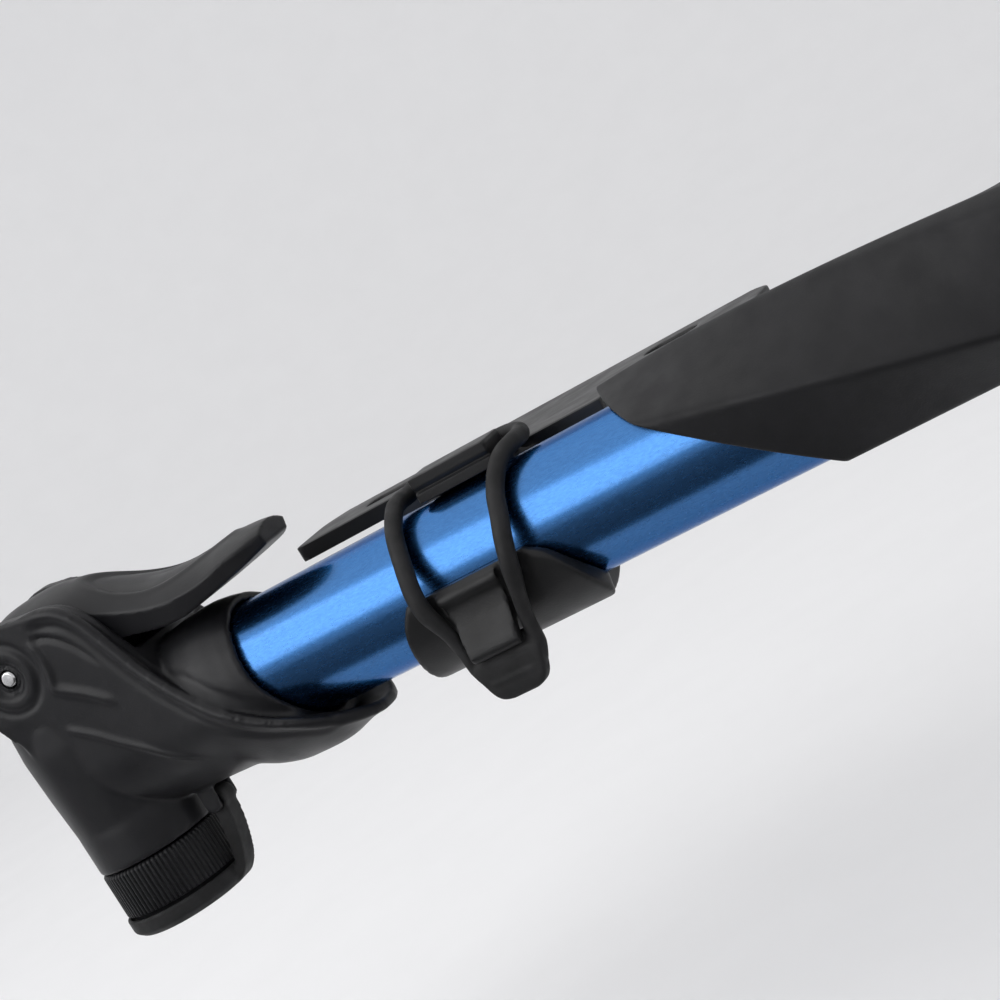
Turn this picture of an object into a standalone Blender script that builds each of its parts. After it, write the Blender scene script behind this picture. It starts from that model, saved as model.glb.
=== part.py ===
"""Mini bicycle pump with a fold-over lever head, held in its frame clip by a rubber strap.

Sizes and places are in millimetres in the pump's own frame: the barrel lies along +X towards the
handle, the valve nozzle points down, and the origin is where their two axes cross. solid() turns
each mesh into metres round the part's origin, the middle of the underside of the clip's plate,
where it sits on the bicycle's tube.
"""

import math

import bmesh
import bpy
from mathutils import Matrix, Vector

MM = 0.001
GAP = 0.3
SLIVER = 0.01
FAR = 40.0

# Frame clip
PLATE_BASE = Vector((92.0, 37.0, 10.0))
PLATE_SIZE = (102.0, 18.0, 3.0)
PLATE_CORNER = 4.0
SLOT_SPACING = 64.0
SLOT_LENGTH, SLOT_WIDTH = 11.0, 5.5
CLIP_X = 92.0
CLIP_BORE_R = 12.3
CLIP_OUTER_R = [(0, 14.3), (20, 14.8), (50, 15.6), (75, 15.9), (120, 15.9), (160, 15.0), (205, 14.5)]
CLIP_LEFT = [
    (0, -12.4), (8, -14.0), (18, -15.5), (35, -17.0), (60, -18.4), (74, -18.8), (90, -17.4), (110, -16.0),
    (205, -16.0), (225, -12.3), (240, -5.9),
]
CLIP_RIGHT = [
    (0, 11.6), (8, 14.6), (18, 16.4), (32, 18.0), (47, 19.0), (60, 19.2), (68, 18.5), (76, 17.3), (84, 15.9),
    (90, 15.2), (205, 15.2), (225, 13.6), (240, 10.2),
]
CLIP_END_ANGLE = 268
JAW_X, JAW_Y, JAW_Z = (-5.9, 10.2), (-3.2, 4.4), (12.6, 17.4)
JAW_GROOVE_Z, JAW_GROOVE_DEPTH = (14.4, 15.2), 0.6
ARM_X, ARM_Y = (-18.0, 26.5), 9.6
GUSSET_HALF = 3.0
GUSSET_OUTLINE = [(10.5, 9.5), (26.0, 10.2), (26.0, 9.0), (14.0, 1.5), (13.2, 1.5)]
HOOK_TOP_HALF, HOOK_LIP_HALF = 6.2, 4.8

# Barrel and head
BARREL_R, BARREL_BORE_R = 12.0, 10.7
BARREL_X = (25.3, 237.5)
SOCKET_X = (23.3, 44.0)
SOCKET_R = 14.6
CHANNEL_R = 14.2
DECK_Z = 10.9
CHEEK_GAP_HALF = 9.0
EAR_HALF, EAR_R = 12.5, 10.0
TIP_X, TIP_ROUNDING = 59.5, 0.05
PIN = Vector((0.0, 0.0, 21.2))
PIN_R, PIN_HALF, PIN_EDGE = 1.6, 12.2, 0.4
NOZZLE_BORE_R = 8.0
SKIRT_R, SKIRT_END_Z = 9.8, -26.0
SEAM_Z = -19.5
CHECK_BORE_R, CHECK_BORE_X, AIR_R = 4.5, 12.0, 1.8
PIN_RECESS_R, PIN_RECESS_DEPTH = (2.6, 4.6), 0.55
GASKET_R, GASKET_X = (9.4, 12.0), (23.6, 25.0)
CHECK_SEAT_R, CHECK_SEAT_X = (1.5, 4.2), (21.3, 23.0)
POPPET_R, POPPET_X = 3.4, (17.4, 21.0)
SPRING_COILS, SPRING_X, SPRING_R, SPRING_WIRE_R = 4, (12.7, 18.5), 2.2, 0.3

# Lever and plunger
CAM_LOW, CAM_RISE = 7.0, 2.5
LEVER_HALF_WIDTHS = [(20, 8.7), (26, 9.0), (32, 9.6), (38, 10.1), (44, 10.2), (50, 9.6), (54.5, 7.6), (57, 5.0)]
LEVER_TOPS = [
    (-9.5, 24.0), (-8.3, 26.2), (-7.0, 27.6), (-5.3, 29.0), (-3.5, 29.9), (-1.6, 30.6), (2, 31.1), (8, 31.3),
    (14, 30.5), (20, 28.9), (26, 26.8), (32, 25.2), (38, 24.4), (44, 24.0), (50, 23.7), (54.5, 23.4), (57, 23.1),
]
LEVER_CREASES = [
    (-9.5, 23.2), (-8.3, 24.4), (-7.0, 25.2), (-5.3, 26.2), (-3.5, 26.8), (-1.6, 27.4), (2, 28.0), (8, 28.2),
    (14, 27.0), (20, 24.2), (26, 21.9), (32, 20.1), (38, 19.4), (44, 19.6), (50, 20.8), (57, 21.6),
]
LEVER_UNDERSIDE = [
    (2, 14.3), (8, 14.7), (14, 15.6), (20, 17.2), (24, 17.4), (28, 16.7), (32, 15.9), (37, 15.7), (44, 16.7),
    (50, 17.8), (54.5, 18.8), (57, 19.6),
]
LEVER_FLANK_INSET = [(22, 0.0), (30, 0.7)]
DISH_CENTRE, DISH_RADII, DISH_TILT = Vector((35.5, 0, 27.3)), (15.0, 7.0, 3.6, 1.0), 6.0
CROWN_POWER = 1.4
PLUNGER_R = 7.6
PLUNGER_Z = (-11.7, 13.9)
WAIST_R, WAIST_Z = 5.4, (-3.0, 3.0)
RING_GROOVE_R, GROOVE_HALF = 6.4, 0.8
RING_GROOVE_Z = (-7.4, 7.4)
SEAL_R, SEAL_SECTION_R = 7.12, 0.62
OUTLET_R, INLET_R = 1.6, 1.2

# Valve end
GROMMET_R, GROMMET_Z, GROMMET_CHAMFER = (3.6, 7.6), (-25.9, -12.0), 1.2
COLLAR_R, COLLAR_NECK_R = 12.4, 11.2
COLLAR_Z = (-30.3, -19.8)
COLLAR_RIBS = 24
COLLAR_MOUTH_R, COLLAR_RIB = (4.4, 5.4), 0.5
CAP_R, CAP_RECESS_R, CAP_FLOOR = 12.9, 12.1, 2.6
EYE = Vector((17.0, 0.0, -17.5))
EYE_R, EYE_POST_R = 2.3, 1.1
LUG_R, LUG_THICKNESS, LUG_TOP_Z = 1.8, 1.0, -12.0
TETHER_HALF = 2.2

# Piston, rod and handle
PISTON_X, PISTON_R = (29.0, 39.0), 10.3
PISTON_GROOVE_R, PISTON_GROOVE_X = 8.4, (32.4, 35.2)
PISTON_SEAL_R, PISTON_SEAL_SECTION_R = 9.6, 0.95
BUMPER_R, BUMPER_X = 8.6, (39.3, 44.3)
ROD_R, ROD_X = 4.0, (33.0, 250.6)
ROD_CLEARANCE = 0.35
GUIDE_R, GUIDE_X = 10.4, (222.0, 237.8)
FLANGE_R, FLANGE_X = 12.0, (237.8, 241.2)
CATCH_GROOVE_R, CATCH_GROOVE_X = 10.9, (238.6, 240.4)
CATCH_R, CATCH_SECTION_R = 11.8, 0.62
HANDLE_BORE_R = 12.6
BULKHEAD_X = (243.0, 247.0)
POCKET_R = 10.0
NUT_R, NUT_HEIGHT = 7.2, 3.1
HANDLE_START_X, HANDLE_STEP, HANDLE_END_X = 112, 8, 254.0
FACET_R, UNDER_FACET_R, CORNER_R = 13.7, 13.3, 16.5
TWIST_RATE, TWIST_X, LATE_TWIST_X = 0.83, 145.0, 195.0
FLARE, FLARE_X = 0.10, 205.0
END_CAP_R, END_CAP_SPIGOT = 13.2, (9.6, 251.0)
FRONT_CUT = (141.0, -0.15, -1.25)

# Strap
STRAND_R = [(6, 1.6), (26, 1.3)]
TAB_TOP = (CLIP_X, -15.1, -14.2)
TAB_HALF_THICKNESS = 1.5
TAB_CHAMFER = 0.7

BLACK = (0.018, 0.018, 0.02)
FINISHES = {
    "clip_plastic": (BLACK, 0.45, 0.0),
    "head_plastic": (BLACK, 0.38, 0.0),
    "handle_plastic": (BLACK, 0.5, 0.0),
    "blue_anodised": ((0.02, 0.13, 0.52), 0.3, 1.0),
    "bright_steel": ((0.75, 0.75, 0.76), 0.2, 1.0),
    "rod_aluminium": ((0.7, 0.7, 0.72), 0.3, 1.0),
    "black_rubber": ((0.02, 0.02, 0.02), 0.7, 0.0),
    "inner_plastic": ((0.1, 0.1, 0.11), 0.5, 0.0),
}


# ---------------------------------------------------------------- shape tools


def turned(profile, segments=32):
    """A solid turned about Z. A profile that starts and ends at radius 0 is full, else a ring."""
    bm = bmesh.new()
    rings = []
    for radius, height in profile:
        if radius == 0:
            rings.append([bm.verts.new((0, 0, height))])
            continue
        turns = [2 * math.pi * i / segments for i in range(segments)]
        rings.append([bm.verts.new((radius * math.cos(a), radius * math.sin(a), height)) for a in turns])
    pairs = list(zip(rings, rings[1:]))
    if profile[0][0] > 0:
        pairs.append((rings[-1], rings[0]))
    for low, high in pairs:
        for i in range(segments):
            j = (i + 1) % segments
            corners = [low[i % len(low)], low[j % len(low)], high[j % len(high)], high[i % len(high)]]
            bm.faces.new(list(dict.fromkeys(corners)))
    bmesh.ops.recalc_face_normals(bm, faces=bm.faces)
    return bm


def round_bar(radius, low, high, segments=24):
    return turned([(0, low), (radius, low), (radius, high), (0, high)], segments)


def ring(inner, outer, low, high, segments=28):
    return turned([(inner, low), (outer, low), (outer, high), (inner, high)], segments)


def o_ring(radius, section_r, height, segments=24, sides=6):
    turns = [2 * math.pi * i / sides for i in range(sides)]
    return turned([(radius + section_r * math.cos(a), height + section_r * math.sin(a)) for a in turns], segments)


def along_x(bm):
    """Lays a solid turned about Z on the barrel's axis, so that its heights become X."""
    bm.transform(Matrix.Rotation(math.radians(90), 4, "Y"))
    return bm


def along_y(bm, centre):
    """Lays a solid turned about Z across the pump, through a point."""
    bm.transform(Matrix.Translation(centre) @ Matrix.Rotation(math.radians(-90), 4, "X"))
    return bm


def loft(sections):
    """A solid through equal rings of points, with flat ends."""
    bm = bmesh.new()
    rings = [[bm.verts.new(point) for point in section] for section in sections]
    count = len(rings[0])
    for first, second in zip(rings, rings[1:]):
        for i in range(count):
            j = (i + 1) % count
            bm.faces.new((first[i], first[j], second[j], second[i]))
    bm.faces.new(rings[0])
    bm.faces.new(rings[-1])
    bmesh.ops.recalc_face_normals(bm, faces=bm.faces)
    return bm


def side_prism(outline, low_y, high_y):
    """An outline in the XZ plane, extruded across the pump."""
    return loft([[(x, y, z) for x, z in outline] for y in (low_y, high_y)])


def end_prism(outline, low_x, high_x):
    """An outline in the YZ plane, extruded along the barrel."""
    return loft([[(x, y, z) for y, z in outline] for x in (low_x, high_x)])


def block(low, high):
    outline = [(low[0], low[2]), (high[0], low[2]), (high[0], high[2]), (low[0], high[2])]
    return side_prism(outline, low[1], high[1])


def smooth_path(points, steps):
    """Points along a Catmull-Rom curve through the given ones."""
    points = [Vector(point) for point in points]
    padded = [2 * points[0] - points[1], *points, 2 * points[-1] - points[-2]]
    path = []
    for a, b, c, d in zip(padded, padded[1:], padded[2:], padded[3:]):
        for i in range(steps):
            t = i / steps
            bend = 2 * a - 5 * b + 4 * c - d
            swing = 3 * b - a - 3 * c + d
            path.append((2 * b + (c - a) * t + bend * t**2 + swing * t**3) / 2)
    path.append(points[-1])
    return path


def sweep(path, radii, sides=6):
    """A round bar along a path, its section carried without twist."""
    sections = []
    across = Vector((0, 0, 1)) if abs((path[1] - path[0]).normalized().z) < 0.7 else Vector((1, 0, 0))
    for i, (point, radius) in enumerate(zip(path, radii)):
        ahead = (path[min(i + 1, len(path) - 1)] - path[max(i - 1, 0)]).normalized()
        across = (across - across.dot(ahead) * ahead).normalized()
        up = ahead.cross(across)
        turns = [2 * math.pi * k / sides for k in range(sides)]
        sections.append([point + radius * (math.cos(a) * across + math.sin(a) * up) for a in turns])
    return loft(sections)


def read_table(table, x):
    """Reads a value between the rows (x, value) of a table."""
    for (x0, v0), (x1, v1) in zip(table, table[1:]):
        if x <= x1:
            return v0 + (v1 - v0) * max(0.0, x - x0) / (x1 - x0)
    return table[-1][1]


def round_barrel(x, degrees, radius):
    """A point round the barrel: 0 degrees faces -Y, 90 faces down and -90 faces up."""
    angle = math.radians(degrees)
    return Vector((x, -radius * math.cos(angle), -radius * math.sin(angle)))


# ---------------------------------------------------------------- objects


def solid(name, bm):
    """An object in metres, round the part's origin, from a mesh in the pump's millimetres."""
    mesh = bpy.data.meshes.new(name)
    bm.transform(Matrix.Scale(MM, 4) @ Matrix.Translation(-PLATE_BASE))
    bm.to_mesh(mesh)
    bm.free()
    obj = bpy.data.objects.new(name, mesh)
    bpy.context.scene.collection.objects.link(obj)
    return obj


def combine(target, operation, *tool_meshes):
    """Joins (UNION), cuts (DIFFERENCE) or trims (INTERSECT) an object by each tool in turn."""
    for bm in tool_meshes:
        tool = solid("tool", bm)
        modifier = target.modifiers.new(operation, "BOOLEAN")
        modifier.operation = operation
        modifier.solver = "EXACT"
        modifier.object = tool
        evaluated = target.evaluated_get(bpy.context.evaluated_depsgraph_get())
        result = bpy.data.meshes.new_from_object(evaluated)
        target.modifiers.clear()
        target.data = result
        bpy.data.objects.remove(tool)


def material(slot):
    if slot in bpy.data.materials:
        return bpy.data.materials[slot]
    colour, roughness, metallic = FINISHES[slot]
    made = bpy.data.materials.new(slot)
    made.use_nodes = True
    shader = made.node_tree.nodes["Principled BSDF"]
    shader.inputs["Base Color"].default_value = (*colour, 1)
    shader.inputs["Roughness"].default_value = roughness
    shader.inputs["Metallic"].default_value = metallic
    return made


def carrier(name, place, parent=None):
    """An empty on a joint's axis, which carries the pieces that move together."""
    empty = bpy.data.objects.new(name, None)
    bpy.context.scene.collection.objects.link(empty)
    empty.location = (Vector(place) - PLATE_BASE) * MM
    if parent:
        empty.location -= parent.location
        empty.parent = parent
    return empty


def finish(obj, slot, carried_by=None):
    """Gives a solid its material and shading, and hangs it on its carrier."""
    obj.data.materials.clear()
    obj.data.materials.append(material(slot))
    obj.data.shade_smooth()
    obj.data.set_sharp_from_angle(angle=math.radians(35))
    if carried_by:
        bpy.context.view_layer.update()
        obj.data.transform(carried_by.matrix_world.inverted())
        obj.parent = carried_by


# ---------------------------------------------------------------- frame clip


def clip_wall():
    """The wall round the barrel, from the near side under it and up its back to the top."""
    sections = []
    steps = 30
    for i in range(steps + 1):
        degrees = CLIP_END_ANGLE * i / steps
        left, right = read_table(CLIP_LEFT, degrees), read_table(CLIP_RIGHT, degrees)
        inner, outer = CLIP_BORE_R, read_table(CLIP_OUTER_R, degrees)
        corners = [(left, inner), (right, inner), (right, outer), (left, outer)]
        sections.append([round_barrel(CLIP_X + x, degrees, r) for x, r in corners])
    return loft(sections)


def strap_hook():
    """The cleat in front: a bead, a hollow and the lip that holds the strap's pad, narrower downwards."""
    profile = [
        (-13.4, -0.4), (-14.8, -0.5), (-15.6, -1.2), (-15.8, -2.2), (-15.2, -3.2), (-15.2, -4.4), (-15.6, -6.4),
        (-16.5, -8.6), (-17.7, -10.8), (-18.0, -12.4), (-17.2, -13.3), (-16.2, -12.2), (-14.6, -9.6),
        (-12.4, -8.6), (-12.9, -4.0),
    ]
    top_z, lip_z = profile[0][1], profile[10][1]
    sections = []
    for side in (-1, 1):
        halves = [HOOK_TOP_HALF + (HOOK_LIP_HALF - HOOK_TOP_HALF) * (z - top_z) / (lip_z - top_z) for _, z in profile]
        sections.append([(CLIP_X + side * half, y, z) for half, (y, z) in zip(halves, profile)])
    return loft(sections)


def bolt_slot(x):
    """A cutter with round ends, through the plate."""
    straight = (SLOT_LENGTH - SLOT_WIDTH) / 2
    radius = SLOT_WIDTH / 2
    outline = []
    for side, start in ((1, -90), (-1, 90)):
        turns = [math.radians(start + 180 * i / 6) for i in range(7)]
        outline += [(x + side * straight + radius * math.cos(a), PLATE_BASE.y + radius * math.sin(a)) for a in turns]
    return loft([[(px, py, z) for px, py in outline] for z in (PLATE_BASE.z - 2, PLATE_BASE.z + 6)])


def make_bracket():
    length, width, height = PLATE_SIZE
    near_y = PLATE_BASE.y - width / 2
    top_z = PLATE_BASE.z + height
    corner = PLATE_CORNER
    half = length / 2
    outline = [
        (-half, near_y), (half, near_y),
        (half, near_y + width - corner), (half - corner, near_y + width),
        (-half + corner, near_y + width), (-half, near_y + width - corner),
    ]
    plate = loft([[(PLATE_BASE.x + x, y, z) for x, y in outline] for z in (PLATE_BASE.z, top_z)])
    bracket = solid("bracket", plate)
    arm_low, arm_high = ARM_X
    arm = block((CLIP_X + arm_low, ARM_Y, PLATE_BASE.z + SLIVER), (CLIP_X + arm_high, near_y + 1, top_z - SLIVER))
    gusset = end_prism(GUSSET_OUTLINE, CLIP_X - GUSSET_HALF, CLIP_X + GUSSET_HALF)
    jaw = block((CLIP_X + JAW_X[0], JAW_Y[0], JAW_Z[0]), (CLIP_X + JAW_X[1], JAW_Y[1], JAW_Z[1]))
    groove_low, groove_high = JAW_GROOVE_Z
    groove_y = JAW_Y[0] + JAW_GROOVE_DEPTH
    jaw_groove = block((CLIP_X - FAR, -FAR, groove_low), (CLIP_X + FAR, groove_y, groove_high))
    combine(bracket, "UNION", arm, gusset)
    combine(bracket, "UNION", clip_wall(), jaw)
    combine(bracket, "UNION", strap_hook())
    bore = along_x(round_bar(CLIP_BORE_R, CLIP_X - FAR, CLIP_X + FAR, 58))
    combine(bracket, "DIFFERENCE", bore, jaw_groove)
    slots = [bolt_slot(PLATE_BASE.x + side * SLOT_SPACING / 2) for side in (-1, 1)]
    combine(bracket, "DIFFERENCE", *slots)
    finish(bracket, "clip_plastic")


# ---------------------------------------------------------------- strap


def make_strap():
    """One loop of rubber: two strands over the barrel, joined behind the top jaw and at the tab."""
    route = [
        (85.6, 42, 20.2), (85.4, 37, 18.9), (85.1, 31, 17.7), (84.8, 24, 17.0), (84.2, 15, 16.7), (83.6, 6, 16.6),
        (83.3, -6, 16.1), (82.8, -26, 14.5), (81.9, -52, 13.9), (81.2, -77, 14.2), (81.1, -91, 14.5),
        (81.6, -103, 14.9), (83.4, -111, 16.2), (87.0, -116.5, 17.1), (93.0, -118, 17.3), (101.0, -116.5, 17.1),
        (104.6, -111, 16.0), (105.6, -103, 14.9), (105.3, -90, 14.4), (104.2, -76, 14.2), (103.5, -60, 13.9),
        (103.0, -42, 13.9), (103.0, -26, 14.5), (102.7, -12, 15.7), (102.0, 1, 16.5), (100.9, 13, 16.7),
        (99.8, 23, 17.0), (99.0, 31, 17.7), (98.6, 37, 18.9), (98.4, 42, 20.2),
    ]
    path = smooth_path([round_barrel(*place) for place in route], 2)
    radii = [read_table(STRAND_R, math.degrees(math.atan2(-point.z, -point.y))) for point in path]
    finish(solid("strap_loop", sweep(path, radii)), "black_rubber")


def make_strap_tab(puller):
    """The finger pad that hooks under the clip's lip: thick at its crotch, round at its end."""
    spine = [
        (-15.1, -14.2, 7.2), (-15.2, -15.4, 6.6), (-15.2, -17.2, 6.0), (-15.3, -19.0, 5.5),
        (-15.3, -20.2, 4.9), (-15.3, -20.9, 4.0), (-15.3, -21.3, 2.6),
    ]
    sections = []
    thick, chamfer = TAB_HALF_THICKNESS, TAB_CHAMFER
    for y, z, half in spine:
        corners = [
            (-half, -thick + chamfer), (-half + chamfer, -thick), (half - chamfer, -thick), (half, -thick + chamfer),
            (half, thick - chamfer), (half - chamfer, thick), (-half + chamfer, thick), (-half, thick - chamfer),
        ]
        sections.append([(CLIP_X + x, y + t, z) for x, t in corners])
    finish(solid("strap_tab", loft(sections)), "black_rubber", puller)


# ---------------------------------------------------------------- barrel and head


def make_barrel():
    barrel = along_x(ring(BARREL_BORE_R, BARREL_R, *BARREL_X, segments=40))
    finish(solid("barrel", barrel), "blue_anodised")


def cheek_hull():
    """The head's outer sides: upright walls at the pin, which round into a scoop under the barrel."""
    half_widths = [(-9.9, 12.5), (14, 12.6), (24, 13.6), (34, 15.4), (44, 16.6), (56, 17.2), (62, 17.2)]
    depths = [(-9.9, 11.0), (16, 14.6), (26, 14.8), (32, 15.2), (37, 17.2), (42, 18.1), (50, 17.9), (55, 16.6), (62, 15.9)]
    sections = []
    steps = 14
    for x in (-9.9, 4, 14, 20, 26, 32, 37, 42, 50, 55, 62):
        half = read_table(half_widths, x)
        depth = read_table(depths, x)
        section = [(x, half, FAR)]
        for i in range(steps + 1):
            angle = math.pi * i / steps
            section.append((x, half * math.cos(angle), -depth * math.sin(angle)))
        section.append((x, -half, FAR))
        sections.append(section)
    return loft(sections)


def cheek_side():
    """What is left of the cheeks seen from the side: the ears, the falling rim and the scoop's tip."""
    turns = [math.radians(degrees) for degrees in range(190, 70, -14)]
    ear = [(EAR_R * math.cos(a), PIN.z + EAR_R * math.sin(a)) for a in turns]
    rim = [
        (8.3, 30.0), (13.8, 29.3), (18.0, 27.4), (21.2, 23.6), (24.2, 17.7), (28.0, 10.6), (33.2, 3.9),
        (38.4, -1.4), (44.0, -5.6), (49.6, -8.7), (54.6, -11.6), (57.6, -13.2), (59.3, -14.6),
    ]
    tip = [(59.4, -15.6), (58.2, -17.0), (55.0, -19.5), (-4.0, -19.5), (-3.4, 2.0), (-5.6, 9.0), (-8.4, 14.5)]
    return side_prism(ear + rim + tip, -FAR, FAR)


def tip_plan():
    """What is left of the scoop seen from above: a tongue with a rounded end."""
    across = range(-18, 19, 3)
    outline = [(-FAR, -18), *((TIP_X - TIP_ROUNDING * y * y, y) for y in across), (-FAR, 18)]
    return loft([[(x, y, z) for x, y in outline] for z in (-FAR, FAR)])


def make_head():
    head = solid("head_body", cheek_hull())
    combine(head, "INTERSECT", cheek_side(), tip_plan())
    housing = turned(
        [(0, SKIRT_END_Z), (SKIRT_R, SKIRT_END_Z), (SKIRT_R, SEAM_Z), (12.3, SEAM_Z), (12.7, -12.0), (13.4, -3.0),
         (13.8, 5.5), (13.5, 10.5), (12.4, 13.6), (0, 13.6)],
        36,
    )
    socket = along_x(
        turned([(0, 14.0), (SOCKET_R, 16.0), (SOCKET_R, 37.0), (14.1, 41.5), (13.3, 44.6), (0, 44.6)], 36)
    )
    lugs = []
    for y in (TETHER_HALF + GAP, -TETHER_HALF - GAP - LUG_THICKNESS):
        outline = [(EYE.x - LUG_R, LUG_TOP_Z), (EYE.x + LUG_R, LUG_TOP_Z)]
        turns = [math.pi * i / 8 for i in range(9)]
        outline += [(EYE.x + LUG_R * math.cos(a), EYE.z - LUG_R * math.sin(a)) for a in turns]
        lugs.append(side_prism(outline, y, y + LUG_THICKNESS))
    combine(head, "UNION", housing, socket, *lugs)
    post_half = TETHER_HALF + GAP + LUG_THICKNESS / 2
    combine(head, "UNION", along_y(round_bar(EYE_POST_R, -post_half, post_half, 12), EYE))

    gap_half = CHEEK_GAP_HALF
    lever_way = side_prism(
        [(-FAR, DECK_Z), (17.0, DECK_Z), (22.0, 14.8), (FAR, 14.8), (FAR, FAR), (-FAR, FAR)], -gap_half, gap_half
    )
    combine(head, "DIFFERENCE", lever_way)
    barrel_way = [(0, SOCKET_X[0]), (BARREL_R + GAP, SOCKET_X[0]), (BARREL_R + GAP, SOCKET_X[1])]
    channel = [(CHANNEL_R, SOCKET_X[1]), (CHANNEL_R, 2 * FAR), (0, 2 * FAR)]
    combine(head, "DIFFERENCE", along_x(turned(barrel_way + channel, 38)))
    combine(head, "DIFFERENCE", round_bar(NOZZLE_BORE_R, -FAR, FAR, 26))
    low, high = CHECK_BORE_X, SOCKET_X[0] + 1
    air_way = [(0, 0), (AIR_R, 0), (AIR_R, low), (CHECK_BORE_R, low), (CHECK_BORE_R, high), (0, high)]
    combine(head, "DIFFERENCE", along_x(turned(air_way, 14)))
    combine(head, "DIFFERENCE", along_y(round_bar(PIN_R + GAP, -FAR, FAR, 16), PIN))
    for side in (-1, 1):
        recess = ring(*PIN_RECESS_R, -PIN_RECESS_DEPTH, PIN_RECESS_DEPTH, 18)
        combine(head, "DIFFERENCE", along_y(recess, PIN + Vector((0, side * EAR_HALF, 0))))
    finish(head, "head_plastic")


def make_pin():
    end = [(PIN_R, PIN_HALF - PIN_EDGE), (PIN_R - PIN_EDGE, PIN_HALF), (0, PIN_HALF)]
    profile = [(radius, -height) for radius, height in reversed(end)] + end
    finish(solid("lever_pin", along_y(turned(profile, 16), PIN)), "bright_steel")


def make_barrel_gasket():
    finish(solid("barrel_gasket", along_x(ring(*GASKET_R, *GASKET_X))), "black_rubber")


# ---------------------------------------------------------------- check valve


def make_check_valve(poppet_carrier):
    """A rubber poppet which a spring holds against its seat, between the barrel and the nozzle."""
    seat = along_x(ring(*CHECK_SEAT_R, *CHECK_SEAT_X, 16))
    finish(solid("check_valve_seat", seat), "inner_plastic")
    low, high = POPPET_X
    stem_r, rim_low, rim_high = POPPET_R / 3, high - 1.8, high - 0.4
    poppet = turned(
        [(0, low), (stem_r, low), (stem_r, rim_low), (POPPET_R, rim_low), (POPPET_R, rim_high), (2 * stem_r, high), (0, high)],
        14,
    )
    finish(solid("check_valve", along_x(poppet)), "black_rubber", poppet_carrier)
    low, high = SPRING_X
    steps = 8 * SPRING_COILS
    route = []
    for i in range(steps + 1):
        angle = 2 * math.pi * SPRING_COILS * i / steps
        route.append(Vector((low + (high - low) * i / steps, SPRING_R * math.cos(angle), SPRING_R * math.sin(angle))))
    finish(solid("check_spring", sweep(route, [SPRING_WIRE_R] * len(route), 4)), "bright_steel")


# ---------------------------------------------------------------- lever and plunger


def lever_stations():
    """Places along the lever: (x, underside). Turned up by 90 degrees, its cam falls by CAM_RISE."""
    rate = CAM_RISE / math.radians(90)
    stations = []
    for degrees in range(90, -1, -15):
        a = math.radians(degrees)
        reach = CAM_LOW + rate * a
        x = -reach * math.sin(a) - rate * math.cos(a)
        stations.append((x, PIN.z - reach * math.cos(a) + rate * math.sin(a)))
    return stations + LEVER_UNDERSIDE


def lever_hull():
    """One body along the lever: a crowned top, a crease at its sides, then steep flanks."""
    sections = []
    steps = 8
    for x, bottom in lever_stations():
        half, top, crease = (read_table(table, x) for table in (LEVER_HALF_WIDTHS, LEVER_TOPS, LEVER_CREASES))
        turns = [math.pi * i / steps for i in range(steps + 1)]
        crown = [(x, half * math.cos(a), crease + (top - crease) * math.sin(a) ** CROWN_POWER) for a in turns]
        foot = half - read_table(LEVER_FLANK_INSET, x)
        sections.append([(x, foot, bottom), *crown, (x, -foot, bottom)])
    return loft(sections)


def make_lever(turner):
    lever = solid("lever", lever_hull())
    dish = bmesh.new()
    bmesh.ops.create_uvsphere(dish, u_segments=16, v_segments=10, radius=1.0)
    tilt = Matrix.Rotation(math.radians(DISH_TILT), 4, "Y")
    dish.transform(Matrix.Translation(DISH_CENTRE) @ tilt @ Matrix.Diagonal(DISH_RADII))
    combine(lever, "DIFFERENCE", dish, along_y(round_bar(PIN_R + GAP, -FAR, FAR, 20), PIN))
    finish(lever, "head_plastic", turner)


def plunger_groove(z):
    """The four corners of a sealing ring's groove, on the way up the plunger's side."""
    low, high = z - GROOVE_HALF, z + GROOVE_HALF
    return [(PLUNGER_R, low), (RING_GROOVE_R, low), (RING_GROOVE_R, high), (PLUNGER_R, high)]


def make_plunger(pusher):
    """The cam pushes it down on the grommet. Air comes in at its waist and leaves at its foot."""
    low, high = PLUNGER_Z
    waist_low, waist_high = WAIST_Z
    edge = GROOVE_HALF
    profile = [(0, low), (PLUNGER_R, low), *plunger_groove(RING_GROOVE_Z[0])]
    profile += [(PLUNGER_R, waist_low), (WAIST_R, waist_low + edge), (WAIST_R, waist_high - edge), (PLUNGER_R, waist_high)]
    profile += [*plunger_groove(RING_GROOVE_Z[1]), (PLUNGER_R, high - edge), (PLUNGER_R - edge, high), (0, high)]
    plunger = solid("plunger", turned(profile, 24))
    outlet = round_bar(OUTLET_R, -FAR, INLET_R - GAP, 10)
    inlet = along_x(round_bar(INLET_R, -FAR, FAR, 8))
    combine(plunger, "DIFFERENCE", outlet, inlet)
    finish(plunger, "inner_plastic", pusher)
    for name, z in zip(("plunger_lower_seal", "plunger_upper_seal"), RING_GROOVE_Z):
        finish(solid(name, o_ring(SEAL_R, SEAL_SECTION_R, z)), "black_rubber", pusher)


# ---------------------------------------------------------------- valve end


def make_grommet():
    inner, outer = GROMMET_R
    low, high = GROMMET_Z
    chamfer = GROMMET_CHAMFER
    profile = [(inner, low), (outer, low), (outer, high), (inner + chamfer, high), (inner, high - chamfer)]
    finish(solid("valve_grommet", turned(profile, 24)), "black_rubber")


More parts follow.
